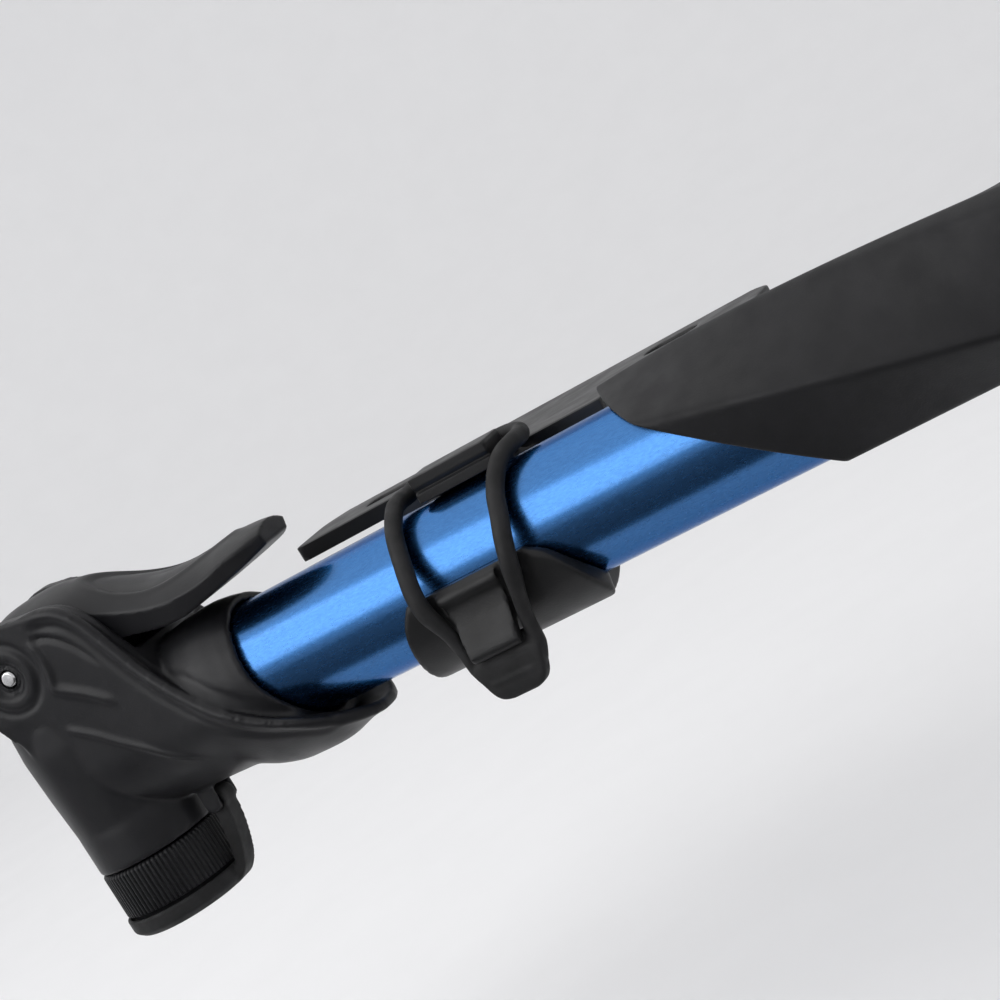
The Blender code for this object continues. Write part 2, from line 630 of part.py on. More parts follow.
def make_collar(turner):
    """The ribbed nut round the nozzle's skirt, which holds the grommet in."""
    low, high = COLLAR_Z
    floor_z = SKIRT_END_Z - GAP
    segments = 2 * COLLAR_RIBS
    inner, chamfered = COLLAR_MOUTH_R
    neck_z = low + 1.4
    profile = [
        (chamfered, low), (COLLAR_NECK_R, low), (COLLAR_NECK_R, neck_z), (COLLAR_R, neck_z + 0.1), (COLLAR_R, high - 0.4),
        (COLLAR_R - 0.6, high), (SKIRT_R + GAP, high), (SKIRT_R + GAP, floor_z), (inner, floor_z), (inner, low + 1.0),
    ]
    bm = turned(profile, segments)
    for vert in bm.verts:
        turn = math.atan2(vert.co.y, vert.co.x) / (2 * math.pi) * segments
        if round(turn) % 2 and vert.co.xy.length > COLLAR_R - COLLAR_RIB / 2:
            vert.co.xy *= (COLLAR_R - COLLAR_RIB) / COLLAR_R
    collar = solid("valve_collar", bm)
    finish(collar, "head_plastic", turner)


def make_dust_cap(swinger):
    """A shallow cap over the collar's foot, and the band that ties it to the head."""
    floor_top = COLLAR_Z[0] - GAP
    foot, rim = floor_top - CAP_FLOOR, floor_top + 1.3
    cap = turned(
        [(0, foot), (CAP_R - 1.3, foot), (CAP_R, foot + 1.2), (CAP_R, rim), (CAP_RECESS_R, rim),
         (CAP_RECESS_R, floor_top), (0, floor_top)],
        30,
    )
    cap_obj = solid("dust_cap", cap)
    band = [
        (17.2, -15.4), (18.6, -16.3), (18.2, -21.0), (17.5, -24.5), (16.3, -28.0), (14.8, -30.8), (13.0, -32.6),
        (11.0, -33.0), (11.0, -31.2), (12.4, -30.9), (13.3, -29.8), (14.0, -27.4), (14.8, -24.2), (15.4, -20.6),
        (15.4, -17.5),
    ]
    eye = along_y(round_bar(EYE_R, -TETHER_HALF, TETHER_HALF, 16), EYE)
    combine(cap_obj, "UNION", side_prism(band, SLIVER - TETHER_HALF, TETHER_HALF - SLIVER), eye)
    combine(cap_obj, "DIFFERENCE", along_y(round_bar(EYE_POST_R + GAP, -FAR, FAR, 10), EYE))
    finish(cap_obj, "black_rubber", swinger)


# ---------------------------------------------------------------- piston, rod and handle


def make_piston(slider):
    low, high = PISTON_X
    groove_low, groove_high = PISTON_GROOVE_X
    radius, rod_end = PISTON_R, ROD_X[0] - GAP
    profile = [
        (0, low), (radius - 0.4, low), (radius, low + 0.6), (radius, groove_low), (PISTON_GROOVE_R, groove_low),
        (PISTON_GROOVE_R, groove_high), (radius, groove_high), (radius, high), (ROD_R + GAP, high),
        (ROD_R + GAP, rod_end), (0, rod_end),
    ]
    finish(solid("piston_head", along_x(turned(profile, 26))), "inner_plastic", slider)
    seal = o_ring(PISTON_SEAL_R, PISTON_SEAL_SECTION_R, (groove_low + groove_high) / 2, 28)
    finish(solid("piston_seal", along_x(seal)), "black_rubber", slider)


def make_rod(spinner):
    low, high = ROD_X
    edge = 0.5
    profile = [(0, low), (ROD_R - edge, low), (ROD_R, low + edge), (ROD_R, high - edge), (ROD_R - edge, high), (0, high)]
    finish(solid("piston_rod", along_x(turned(profile, 20))), "rod_aluminium", spinner)
    bumper = ring(ROD_R + GAP, BUMPER_R, *BUMPER_X, segments=20)
    finish(solid("rod_bumper", along_x(bumper)), "black_rubber", spinner)
    nut_x = BULKHEAD_X[1] + GAP
    turns = [math.pi * i / 3 for i in range(6)]
    hexagon = [(NUT_R * math.cos(a), NUT_R * math.sin(a)) for a in turns]
    nut = solid("rod_nut", end_prism(hexagon, nut_x, nut_x + NUT_HEIGHT))
    combine(nut, "DIFFERENCE", along_x(round_bar(ROD_R + GAP, nut_x - 1, HANDLE_END_X, 18)))
    finish(nut, "bright_steel", spinner)


def make_rod_guide():
    """The barrel's end plug. The rod runs through it, and its flange carries the catch ring."""
    inner = ROD_R + ROD_CLEARANCE
    groove_low, groove_high = CATCH_GROOVE_X
    profile = [
        (inner, GUIDE_X[0]), (GUIDE_R, GUIDE_X[0]), (GUIDE_R, GUIDE_X[1]), (FLANGE_R, FLANGE_X[0]),
        (FLANGE_R, groove_low), (CATCH_GROOVE_R, groove_low), (CATCH_GROOVE_R, groove_high), (FLANGE_R, groove_high),
        (FLANGE_R, FLANGE_X[1]), (inner, FLANGE_X[1]),
    ]
    finish(solid("rod_guide", along_x(turned(profile, 26))), "inner_plastic")
    catch = o_ring(CATCH_R, CATCH_SECTION_R, (groove_low + groove_high) / 2, 26)
    finish(solid("handle_catch_ring", along_x(catch)), "black_rubber")


def handle_section(x):
    """Five facets round the handle. They twist along it, but the one under it starts later."""
    twist = TWIST_RATE * (x - TWIST_X)
    late_twist = TWIST_RATE * max(0.0, x - LATE_TWIST_X)
    facets = [
        (-57 + twist, FACET_R), (13 + twist, FACET_R), (80 + late_twist, UNDER_FACET_R),
        (160 + 0.9 * late_twist, FACET_R), (233 + 0.75 * twist, FACET_R),
    ]
    normals = [normal for normal, _ in facets]
    corners = [(a + b) / 2 for a, b in zip(normals, normals[1:] + [normals[0] + 360])]
    section = []
    steps = 4
    flare = 1.0 + FLARE * (max(0.0, x - FLARE_X) / (HANDLE_END_X - FLARE_X)) ** 1.5
    for start, end in zip([corners[-1] - 360, *corners], corners):
        for i in range(steps):
            degrees = start + (end - start) * i / steps
            flats = []
            for normal, distance in facets:
                away = math.cos(math.radians(degrees - normal))
                if away > 0:
                    flats.append(distance / away)
            section.append(round_barrel(x, degrees, min(CORNER_R, *flats) * flare))
    return section


def make_handle(spinner):
    stations = [*range(HANDLE_START_X, int(HANDLE_END_X) - HANDLE_STEP // 2, HANDLE_STEP), HANDLE_END_X - 2.5]
    sections = [handle_section(x) for x in stations]
    last = [Vector((HANDLE_END_X, 0.9 * point.y, 0.9 * point.z)) for point in sections[-1]]
    handle = solid("handle_shell", loft(sections + [last]))
    base, slope_y, slope_z = FRONT_CUT
    corners = [(-FAR, -FAR), (FAR, -FAR), (FAR, FAR), (-FAR, FAR)]
    upright = [(0, y, z) for y, z in corners]
    slanted = [(base + slope_y * y + slope_z * z, y, z) for y, z in corners]
    bore = along_x(round_bar(HANDLE_BORE_R, FAR, BULKHEAD_X[0], 38))
    pocket = along_x(round_bar(POCKET_R, BULKHEAD_X[1], HANDLE_END_X + FAR, 24))
    rod_hole = along_x(round_bar(ROD_R + GAP, FAR, HANDLE_END_X + FAR, 18))
    combine(handle, "DIFFERENCE", loft([upright, slanted]), bore, pocket, rod_hole)
    finish(handle, "handle_plastic", spinner)
    low, radius = HANDLE_END_X + GAP, END_CAP_R
    spigot_r, spigot_x = END_CAP_SPIGOT
    cap = turned(
        [(0, spigot_x), (spigot_r, spigot_x), (spigot_r, low), (radius - 0.2, low), (radius, low + 1.0),
         (radius - 1.6, low + 2.4), (0, low + 3.0)],
        28,
    )
    finish(solid("handle_end_cap", along_x(cap)), "handle_plastic", spinner)


def main():
    for obj in list(bpy.data.objects):
        bpy.data.objects.remove(obj)
    make_bracket()
    make_strap()
    make_strap_tab(carrier("strap_pull", TAB_TOP))
    make_barrel()
    make_head()
    make_pin()
    make_barrel_gasket()
    make_check_valve(carrier("check_lift", (POPPET_X[0], 0, 0)))
    make_lever(carrier("lever_swing", PIN))
    make_plunger(carrier("plunger_push", (0, 0, PLUNGER_Z[1])))
    make_grommet()
    make_collar(carrier("collar_turn", (0, 0, COLLAR_Z[0])))
    make_dust_cap(carrier("cap_swing", EYE))
    make_rod_guide()
    slider = carrier("piston_slide", (PISTON_X[0], 0, 0))
    make_piston(slider)
    spinner = carrier("handle_spin", (ROD_X[0], 0, 0), slider)
    make_rod(spinner)
    make_handle(spinner)


main()
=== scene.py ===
"""Looks of the mini bicycle pump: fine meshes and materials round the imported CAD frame.

Sizes and places are in millimetres in the pump's own frame, as the CAD source has them: the barrel
lies along +X towards the handle, the nozzle points down, and the origin is where their axes cross.
make_piece() turns each mesh into metres in the row frame.
"""

import math

import bmesh
import bpy
import numpy as np
from mathutils import Matrix, Vector


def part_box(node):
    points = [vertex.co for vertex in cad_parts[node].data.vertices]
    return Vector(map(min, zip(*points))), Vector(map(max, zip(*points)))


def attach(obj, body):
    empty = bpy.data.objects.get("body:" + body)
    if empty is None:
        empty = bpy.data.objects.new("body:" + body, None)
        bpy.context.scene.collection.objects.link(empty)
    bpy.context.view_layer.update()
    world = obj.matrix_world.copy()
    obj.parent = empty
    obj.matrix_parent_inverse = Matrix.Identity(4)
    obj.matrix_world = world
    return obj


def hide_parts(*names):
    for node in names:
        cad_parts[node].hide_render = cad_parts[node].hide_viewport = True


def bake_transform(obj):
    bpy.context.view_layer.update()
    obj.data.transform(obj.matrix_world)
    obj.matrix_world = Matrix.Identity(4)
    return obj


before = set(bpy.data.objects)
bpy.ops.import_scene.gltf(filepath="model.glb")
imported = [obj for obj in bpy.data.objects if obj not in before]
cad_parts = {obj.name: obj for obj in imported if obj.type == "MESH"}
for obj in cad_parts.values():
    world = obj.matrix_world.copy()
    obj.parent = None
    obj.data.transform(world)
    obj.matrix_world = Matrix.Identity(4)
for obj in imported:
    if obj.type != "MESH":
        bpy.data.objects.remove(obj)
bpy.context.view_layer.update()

MM = 0.001
GAP = 0.3  # clearance beside a moving part
ROOT = "clip_and_barrel"


def middle(node):
    low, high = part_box(node)
    return (low + high) / 2


# The pump's origin in the row frame: under the lever's pin, on the barrel's axis.
ORIGIN = Vector((middle("lever_pin").x, middle("barrel").y, middle("barrel").z))


def span(node, axis="x"):
    """A CAD node's lowest and highest place along an axis, in the pump's millimetres."""
    low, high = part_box(node)
    return tuple((getattr(end, axis) - getattr(ORIGIN, axis)) / MM for end in (low, high))


def in_pump(place):
    """A place of the row frame in the pump's millimetres, to the nearest micrometre."""
    return Vector([round(value / MM, 3) for value in place - ORIGIN])


PIN = in_pump(middle("lever_pin"))
# The row frame starts at the middle of the clip plate's underside.
PLATE = in_pump(Vector((0, 0, 0)))


# ---------------------------------------------------------------- materials


class Finish:
    """A Principled material whose colour, roughness and relief come from noise in object space."""

    NOISE_LOW, NOISE_HIGH = 0.35, 0.65  # the part of the noise's range that the changes spread over

    def __init__(self, name, colour, roughness, **settings):
        self.material = bpy.data.materials.new(name)
        self.material.use_nodes = True
        self.tree = self.material.node_tree
        self.shader = self.tree.nodes["Principled BSDF"]
        self.coordinates = self.tree.nodes.new("ShaderNodeTexCoord")
        self.colour, self.roughness = colour, roughness
        self.last_bump = None
        for socket, value in settings.items():
            self.shader.inputs[socket.replace("_", " ")].default_value = value

    def noise(self, size_mm, stretch=(1, 1, 1), detail=2.0):
        """Noise with features about size_mm across, longer along an axis with a low stretch."""
        mapping = self.tree.nodes.new("ShaderNodeMapping")
        mapping.inputs["Scale"].default_value = stretch
        noise = self.tree.nodes.new("ShaderNodeTexNoise")
        noise.inputs["Scale"].default_value = 1 / (size_mm * MM)
        noise.inputs["Detail"].default_value = detail
        self.tree.links.new(self.coordinates.outputs["Object"], mapping.inputs["Vector"])
        self.tree.links.new(mapping.outputs["Vector"], noise.inputs["Vector"])
        return noise.outputs["Fac"]

    def mottle(self, source, lighter):
        """Varies the colour from its own value to a lighter one."""
        ramp = self.tree.nodes.new("ShaderNodeValToRGB")
        first, last = ramp.color_ramp.elements
        first.position, first.color = self.NOISE_LOW, (*self.colour, 1)
        last.position, last.color = self.NOISE_HIGH, (*lighter, 1)
        self.tree.links.new(source, ramp.inputs["Fac"])
        self.tree.links.new(ramp.outputs["Color"], self.shader.inputs["Base Color"])

    def dull(self, source, rougher):
        """Varies the roughness from its own value to a rougher one."""
        ramp = self.tree.nodes.new("ShaderNodeMapRange")
        values = {
            "From Min": self.NOISE_LOW, "From Max": self.NOISE_HIGH,
            "To Min": self.roughness, "To Max": rougher,
        }
        for socket, value in values.items():
            ramp.inputs[socket].default_value = value
        self.tree.links.new(source, ramp.inputs["Value"])
        self.tree.links.new(ramp.outputs["Result"], self.shader.inputs["Roughness"])

    def relief(self, source, depth_mm):
        """Adds a layer of bumps."""
        bump = self.tree.nodes.new("ShaderNodeBump")
        bump.inputs["Distance"].default_value = depth_mm * MM
        self.tree.links.new(source, bump.inputs["Height"])
        if self.last_bump:
            self.tree.links.new(self.last_bump.outputs["Normal"], bump.inputs["Normal"])
        self.tree.links.new(bump.outputs["Normal"], self.shader.inputs["Normal"])
        self.last_bump = bump


def moulded_plastic(name, colour, lighter, roughness, rougher):
    finish = Finish(name, colour, roughness, Specular_IOR_Level=0.26)
    finish.mottle(finish.noise(12, detail=4), lighter)
    finish.dull(finish.noise(5, detail=3), rougher)
    finish.relief(finish.noise(0.35, detail=1), 0.02)
    finish.relief(finish.noise(9), 0.06)
    return finish.material


def anodised_blue():
    along = (0.3, 1, 1)
    finish = Finish(
        "anodised_blue_look", (0.035, 0.13, 0.335), 0.22,
        Metallic=1.0, Specular_Tint=(0.25, 0.4, 0.65, 1),
        Coat_Weight=0.5, Coat_IOR=1.35, Coat_Roughness=0.12,
    )
    finish.mottle(finish.noise(0.3, along, 3), (0.044, 0.155, 0.385))
    finish.dull(finish.noise(0.4, along, 3), 0.28)
    finish.relief(finish.noise(0.25, along, 2), 0.0004)
    return finish.material


def brushed_metal(name, colour, lighter, roughness, rougher, stretch):
    finish = Finish(name, colour, roughness, Metallic=1.0)
    finish.mottle(finish.noise(1.2, stretch, 3), lighter)
    finish.dull(finish.noise(0.5, stretch, 3), rougher)
    finish.relief(finish.noise(0.3, stretch, 2), 0.003)
    return finish.material


def moulded_rubber():
    finish = Finish("black_rubber_look", (0.008, 0.008, 0.0085), 0.55, Specular_IOR_Level=0.28)
    finish.mottle(finish.noise(6, detail=5), (0.014, 0.014, 0.015))
    finish.dull(finish.noise(2.5, detail=3), 0.72)
    finish.relief(finish.noise(0.25), 0.02)
    finish.relief(finish.noise(3), 0.05)
    return finish.material


# Each slot's colour, a lighter one for its mottle, its roughness and a rougher one. A metal's
# grain also has its stretch.
PLASTICS = {
    "clip_plastic": ((0.007, 0.007, 0.0075), (0.011, 0.011, 0.012), 0.38, 0.48),
    "head_plastic": ((0.007, 0.007, 0.0085), (0.011, 0.011, 0.0125), 0.38, 0.46),
    "handle_plastic": ((0.006, 0.006, 0.0072), (0.009, 0.009, 0.0105), 0.5, 0.6),
    "inner_plastic": ((0.09, 0.09, 0.10), (0.13, 0.13, 0.14), 0.4, 0.5),
}
METALS = {
    "bright_steel": ((0.6, 0.6, 0.61), (0.78, 0.78, 0.79), 0.16, 0.28, (1, 1, 1)),
    "rod_aluminium": ((0.62, 0.62, 0.64), (0.74, 0.74, 0.76), 0.2, 0.3, (0.05, 1, 1)),
}
LOOKS = {
    **{slot: moulded_plastic(f"{slot}_look", *values) for slot, values in PLASTICS.items()},
    **{slot: brushed_metal(f"{slot}_look", *values) for slot, values in METALS.items()},
    "black_rubber": moulded_rubber(),
    "blue_anodised": anodised_blue(),
}


def dress_cad_nodes():
    """CAD nodes that stay in sight take the look of their own slot."""
    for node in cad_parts.values():
        for slot in node.material_slots:
            slot.material = LOOKS[slot.material.name.split(".")[0]]


# ---------------------------------------------------------------- mesh tools


def circle(count):
    """The angles of a circle's points."""
    return [2 * math.pi * i / count for i in range(count)]


def half_circle(steps):
    """The angles of a half circle's points, both ends included."""
    return [math.pi * i / steps for i in range(steps + 1)]


def turned(profile, segments=128):
    """A profile (radius, height) turned about Z. One that starts off the axis is closed into a ring."""
    bm = bmesh.new()
    rings = []
    for radius, height in profile:
        turns = circle(segments) if radius else [0]
        rings.append([bm.verts.new((radius * math.cos(a), radius * math.sin(a), height)) for a in turns])
    pairs = list(zip(rings, rings[1:]))
    if profile[0][0] > 0:
        pairs.append((rings[-1], rings[0]))
    for low, high in pairs:
        for i in range(segments):
            j = (i + 1) % segments
            corners = [low[i % len(low)], low[j % len(low)], high[j % len(high)], high[i % len(high)]]
            bm.faces.new(list(dict.fromkeys(corners)))
    return bm


def rounded(profile, radius, closed=False, steps=4):
    """Rounds the corners of an outline. An open one keeps its two ends."""
    points = [Vector(p) for p in profile]
    count = len(points)
    made = []
    for i, corner in enumerate(points):
        if not closed and i in (0, count - 1):
            made.append(tuple(corner))
            continue
        before, after = points[i - 1] - corner, points[(i + 1) % count] - corner
        start = corner + before.normalized() * min(radius, 0.45 * before.length)
        end = corner + after.normalized() * min(radius, 0.45 * after.length)
        for k in range(steps + 1):
            t = k / steps
            made.append(tuple((1 - t) ** 2 * start + 2 * t * (1 - t) * corner + t**2 * end))
    return made


def ring_profile(inner, outer, low, high, edge):
    return rounded([(inner, low), (outer, low), (outer, high), (inner, high)], edge, closed=True)


def bar_profile(radius, low, high, edge=0.1):
    return rounded([(0, low), (radius, low), (radius, high), (0, high)], edge)


def chamfered_bar_profile(radius, low, high, chamfer, edge):
    profile = [(0, low), (radius - chamfer, low), (radius, low + chamfer)]
    profile += [(radius, high - chamfer), (radius - chamfer, high), (0, high)]
    return rounded(profile, edge)


def o_ring(radius, section_r, height):
    section = [(radius + section_r * math.cos(a), height + section_r * math.sin(a)) for a in circle(20)]
    return turned(section)


def along_x(bm):
    bm.transform(Matrix.Rotation(math.radians(90), 4, "Y"))
    return bm


def along_y(bm, centre=(0, 0, 0)):
    bm.transform(Matrix.Translation(centre) @ Matrix.Rotation(math.radians(-90), 4, "X"))
    return bm


def loft(sections, closed=False):
    """A solid through equal rings of points: flat ends, or joined up end to end."""
    bm = bmesh.new()
    rings = [[bm.verts.new(point) for point in section] for section in sections]
    count = len(rings[0])
    pairs = list(zip(rings, rings[1:]))
    if closed:
        pairs.append((rings[-1], rings[0]))
    else:
        bm.faces.new(rings[0])
        bm.faces.new(rings[-1])
    for first, second in pairs:
        for i in range(count):
            j = (i + 1) % count
            bm.faces.new((first[i], first[j], second[j], second[i]))
    bmesh.ops.recalc_face_normals(bm, faces=bm.faces)
    return bm


def side_prism(outline, low_y, high_y):
    return loft([[(x, y, z) for x, z in outline] for y in (low_y, high_y)])


def end_prism(outline, low_x, high_x):
    return loft([[(x, y, z) for y, z in outline] for x in (low_x, high_x)])


def block(low, high):
    outline = [(low[0], low[2]), (high[0], low[2]), (high[0], high[2]), (low[0], high[2])]
    return side_prism(outline, low[1], high[1])


def smooth_path(points, steps):
    """Points along a Catmull-Rom curve through the given ones."""
    points = [Vector(point) for point in points]
    padded = [2 * points[0] - points[1], *points, 2 * points[-1] - points[-2]]
    path = []
    for a, b, c, d in zip(padded, padded[1:], padded[2:], padded[3:]):
        for i in range(steps):
            t = i / steps
            bend = 2 * a - 5 * b + 4 * c - d
            swing = 3 * b - a - 3 * c + d
            path.append((2 * b + (c - a) * t + bend * t**2 + swing * t**3) / 2)
    path.append(points[-1])
    return path


def smooth_outline(points, steps):
    """The same for points in a plane."""
    return [(point.x, point.y) for point in smooth_path([(*point, 0) for point in points], steps)]


def sweep(path, radii, sides=20):
    """A round bar along a path, its section carried without twist."""
    sections = []
    across = Vector((0, 0, 1)) if abs((path[1] - path[0]).normalized().z) < 0.7 else Vector((1, 0, 0))
    for i, (point, radius) in enumerate(zip(path, radii)):
        ahead = (path[min(i + 1, len(path) - 1)] - path[max(i - 1, 0)]).normalized()
        across = (across - across.dot(ahead) * ahead).normalized()
        up = ahead.cross(across)
        turns = circle(sides)
        sections.append([point + radius * (math.cos(a) * across + math.sin(a) * up) for a in turns])
    return loft(sections)


def read_curve(table, x):
    """A smooth curve through the rows (x, value) of a table, with no overshoot between them."""
    xs, values = np.array(table, float).T
    steps = np.diff(values) / np.diff(xs)
    inner = np.where(steps[1:] * steps[:-1] > 0, (steps[1:] + steps[:-1]) / 2, 0)
    slopes = np.concatenate([steps[:1], inner, steps[-1:]])
    x = np.clip(x, xs[0], xs[-1])
    i = np.clip(np.searchsorted(xs, x, side="right") - 1, 0, len(steps) - 1)
    width = xs[i + 1] - xs[i]
    t = (x - xs[i]) / width
    return float(
        (1 + 2 * t) * (1 - t) ** 2 * values[i] + t * (1 - t) ** 2 * width * slopes[i]
        + t**2 * (3 - 2 * t) * values[i + 1] - t**2 * (1 - t) * width * slopes[i + 1]
    )


def round_barrel(x, degrees, radius):
    """A point round the barrel: 0 degrees faces -Y, 90 faces down and -90 faces up."""
    angle = math.radians(degrees)
    return Vector((x, -radius * math.cos(angle), -radius * math.sin(angle)))


def placed(name, data):
    """A new object in the scene."""
    obj = bpy.data.objects.new(name, data)
    bpy.context.scene.collection.objects.link(obj)
    return obj


def as_mesh(bm, name="making"):
    """The mesh of a bmesh, which is freed."""
    mesh = bpy.data.meshes.new(name)
    bm.to_mesh(mesh)
    bm.free()
    return mesh


def as_object(bm):
    bmesh.ops.recalc_face_normals(bm, faces=bm.faces)
    return placed("making", as_mesh(bm))


def evaluated(obj):
    """The object's mesh with its modifiers applied. The object is removed."""
    bpy.context.view_layer.update()
    mesh = bpy.data.meshes.new_from_object(obj.evaluated_get(bpy.context.evaluated_depsgraph_get()))
    bpy.data.objects.remove(obj)
    return mesh


def combined(base, steps):
    """A mesh joined and cut by other solids, in the order of the steps (operation, solid)."""
    obj = as_object(base)
    for operation, bm in steps:
        tool = as_object(bm)
        modifier = obj.modifiers.new(operation, "BOOLEAN")
        modifier.operation = operation
        modifier.solver = "EXACT"
        modifier.object = tool
        mesh = evaluated(obj)
        bpy.data.objects.remove(tool)
        obj = placed("making", mesh)
    return obj


def moulded(obj, voxel, rounds):
    """Turns a joined solid into one fine, even skin with soft edges, as a moulding has."""
    modifier = obj.modifiers.new("skin", "REMESH")
    modifier.mode = "VOXEL"
    modifier.voxel_size = voxel
    mesh = evaluated(obj)
    relax(mesh, rounds)
    return mesh


def points_of(mesh):
    co = np.empty(len(mesh.vertices) * 3)
    mesh.vertices.foreach_get("co", co)
    return co.reshape(-1, 3)


def normals_of(mesh):
    normals = np.empty(len(mesh.vertices) * 3)
    mesh.vertex_normals.foreach_get("vector", normals)
    return normals.reshape(-1, 3)


def move_points(mesh, co):
    mesh.vertices.foreach_set("co", co.astype(np.float32).ravel())
    mesh.update()


def relax(mesh, rounds, weight=1.0):
    """Evens out a skin. Each step inwards is followed by one outwards, so that it doesn't shrink."""
    co = points_of(mesh)
    weight = np.reshape(weight, (-1, 1))
    ends = np.empty(len(mesh.edges) * 2, np.int32)
    mesh.edges.foreach_get("vertices", ends)
    a, b = ends[0::2], ends[1::2]
    count = len(co)
    degree = np.bincount(ends, minlength=count)[:, None]
    for _ in range(rounds):
        for factor in (0.5, -0.53):
            sums = [np.bincount(a, co[b, k], count) + np.bincount(b, co[a, k], count) for k in range(3)]
            co += factor * weight * (np.stack(sums, 1) / degree - co)
    move_points(mesh, co)


def distance_to(co, path):
    """Each point's distance to a path, and how far along the path its nearest place is, 0 to 1."""
    path = np.array([tuple(p) for p in path])
    lengths = np.linalg.norm(np.diff(path, axis=0), axis=1)
    starts = np.concatenate([[0], np.cumsum(lengths)])
    nearest = np.full(len(co), np.inf)
    along = np.zeros(len(co))
    for i, (p, q) in enumerate(zip(path, path[1:])):
        t = np.clip((co - p) @ (q - p) / lengths[i] ** 2, 0, 1)
        away = np.linalg.norm(co - p - t[:, None] * (q - p), axis=1)
        closer = away < nearest
        nearest = np.where(closer, away, nearest)
        along = np.where(closer, (starts[i] + t * lengths[i]) / starts[-1], along)
    return nearest, along


def bump_at(distance, width):
    return np.exp(-((distance / width) ** 2))


def ease(x, low, high):
    """Rises smoothly from 0 at low to 1 at high."""
    t = np.clip((x - low) / (high - low), 0, 1)
    return t * t * (3 - 2 * t)


def plateau(x, rise, fall):
    """Is 1 between a rise and a fall, each given by where it starts and ends, and 0 beyond them."""
    return ease(x, *rise) * (1 - ease(x, *fall))


def make_piece(name, mesh, slot, body, *replaced, sharp=40):
    """Makes a mesh, in the pump's millimetres, a piece that rides on a body and replaces CAD nodes."""
    if isinstance(mesh, bmesh.types.BMesh):
        bmesh.ops.recalc_face_normals(mesh, faces=mesh.faces)
        mesh = as_mesh(mesh)
    mesh.name = name
    mesh.transform(Matrix.Translation(ORIGIN) @ Matrix.Scale(MM, 4))
    mesh.materials.clear()
    mesh.materials.append(LOOKS[slot])
    mesh.shade_smooth()
    mesh.set_sharp_from_angle(angle=math.radians(sharp))
    obj = placed(name, mesh)
    if body:
        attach(obj, body)
    if replaced:
        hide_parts(*replaced)
    return obj


# ---------------------------------------------------------------- barrel

BARREL_R, BARREL_BORE_R = 12.0, 10.7


def make_barrel():
    low, high = span("barrel")
    profile = ring_profile(BARREL_BORE_R, BARREL_R, low, high, 0.4)
    make_piece("barrel_tube", along_x(turned(profile, 192)), "blue_anodised", ROOT, "barrel")


# ---------------------------------------------------------------- head

# Along the head: its half width, and how deep its scoop hangs below the barrel's axis.
HEAD_HALF_WIDTHS = [(-9.9, 12.5), (14, 12.6), (24, 13.6), (34, 15.4), (44, 16.6), (56, 17.2), (62, 17.2)]
HEAD_DEPTHS = [
    (-9.9, 11.0), (16, 14.6), (26, 14.8), (32, 15.2), (37, 17.2), (42, 18.1), (50, 17.9), (55, 16.6),
    (62, 15.9),
]
CHEEK_Z = (14.0, 40.0)
REAR_INSET, REAR_INSET_X = 1.2, (-3, 9)
# The cheeks from the side: the near rim, the outline under and behind it, and the far cheek's rim.
HEAD_RIM = [
    (8.3, 30.0), (13.8, 29.3), (18.0, 27.4), (21.2, 23.6), (24.2, 17.7), (28.0, 10.6), (33.2, 3.9),
    (38.4, -1.4), (44.0, -5.6), (49.6, -8.7), (54.6, -11.6), (57.6, -13.2), (59.3, -14.6),
]
HEAD_FOOT = [
    (59.4, -15.6), (58.2, -17.0), (55.0, -19.5), (-4.0, -19.5), (-3.4, 2.0), (-5.6, 9.0), (-8.4, 14.5),
]
FAR_RIM = [(3, 31.0), (6, 30.3), (10.7, 28.4), (17.0, 25.6), (21.0, 21.6), (24.5, 14.0), (34, 14.0)]
TIP_X, TIP_ROUNDING = 59.5, 0.05
EAR_R = 10.0
CUT_LOW, CUT_HIGH = -30, 45  # how far the head's cutters reach
HOUSING = [
    (0, -25.9), (9.8, -25.9), (9.8, -19.5), (12.3, -19.5), (12.7, -12.0), (13.4, -3.0), (13.8, 5.5),
    (13.5, 10.5), (12.4, 13.6), (0, 13.6),
]
HOUSING_FLATNESS, HOUSING_FLAT_Z = 0.09, (-17, -10)
SOCKET = [
    (0, 10.0), (11.0, 10.0), (11.5, 14.0), (12.2, 18.0), (12.9, 22.0), (13.7, 27.0), (14.3, 31.0),
    (14.6, 35.0), (14.6, 38.0), (14.2, 41.5), (13.6, 44.0), (13.2, 44.6), (0, 44.6),
]
# How far the socket's mouth reaches along the barrel at each height.
MOUTH_LEAN = [(-15, 7.0), (-8.2, 4.9), (0, 1.5), (8, 0.0), (15, -1.5)]
MOUTH_X = (34, 44)
BARREL_WAY = [(0, 23.3), (12.3, 23.3), (12.3, 90), (0, 90)]
BARREL_CHANNEL = [(11.0, 44.0), (14.2, 44.0), (14.2, 90), (11.0, 90)]
AIR_WAY = [(0, 2), (1.8, 2), (1.8, 12.0), (4.5, 12.0), (4.5, 30), (0, 30)]
DECK_Z, CHEEK_GAP_HALF = 10.9, 9.0
LEVER_WAY = [(17.0, DECK_Z), (22.0, 14.8), (46.0, 14.8)]
NOZZLE_BORE_R, NOZZLE_BORE_Z = 8.0, (-40, 20)
EYE = Vector((17.0, 0.0, -17.5))
TETHER_HALF, LUG_R, LUG_THICKNESS, LUG_TOP_Z, EYE_POST_R = 2.2, 1.8, 1.0, -12.0, 1.1
PIN_R, PIN_CHAMFER, PIN_HOLE_R = 1.6, 0.35, 1.9


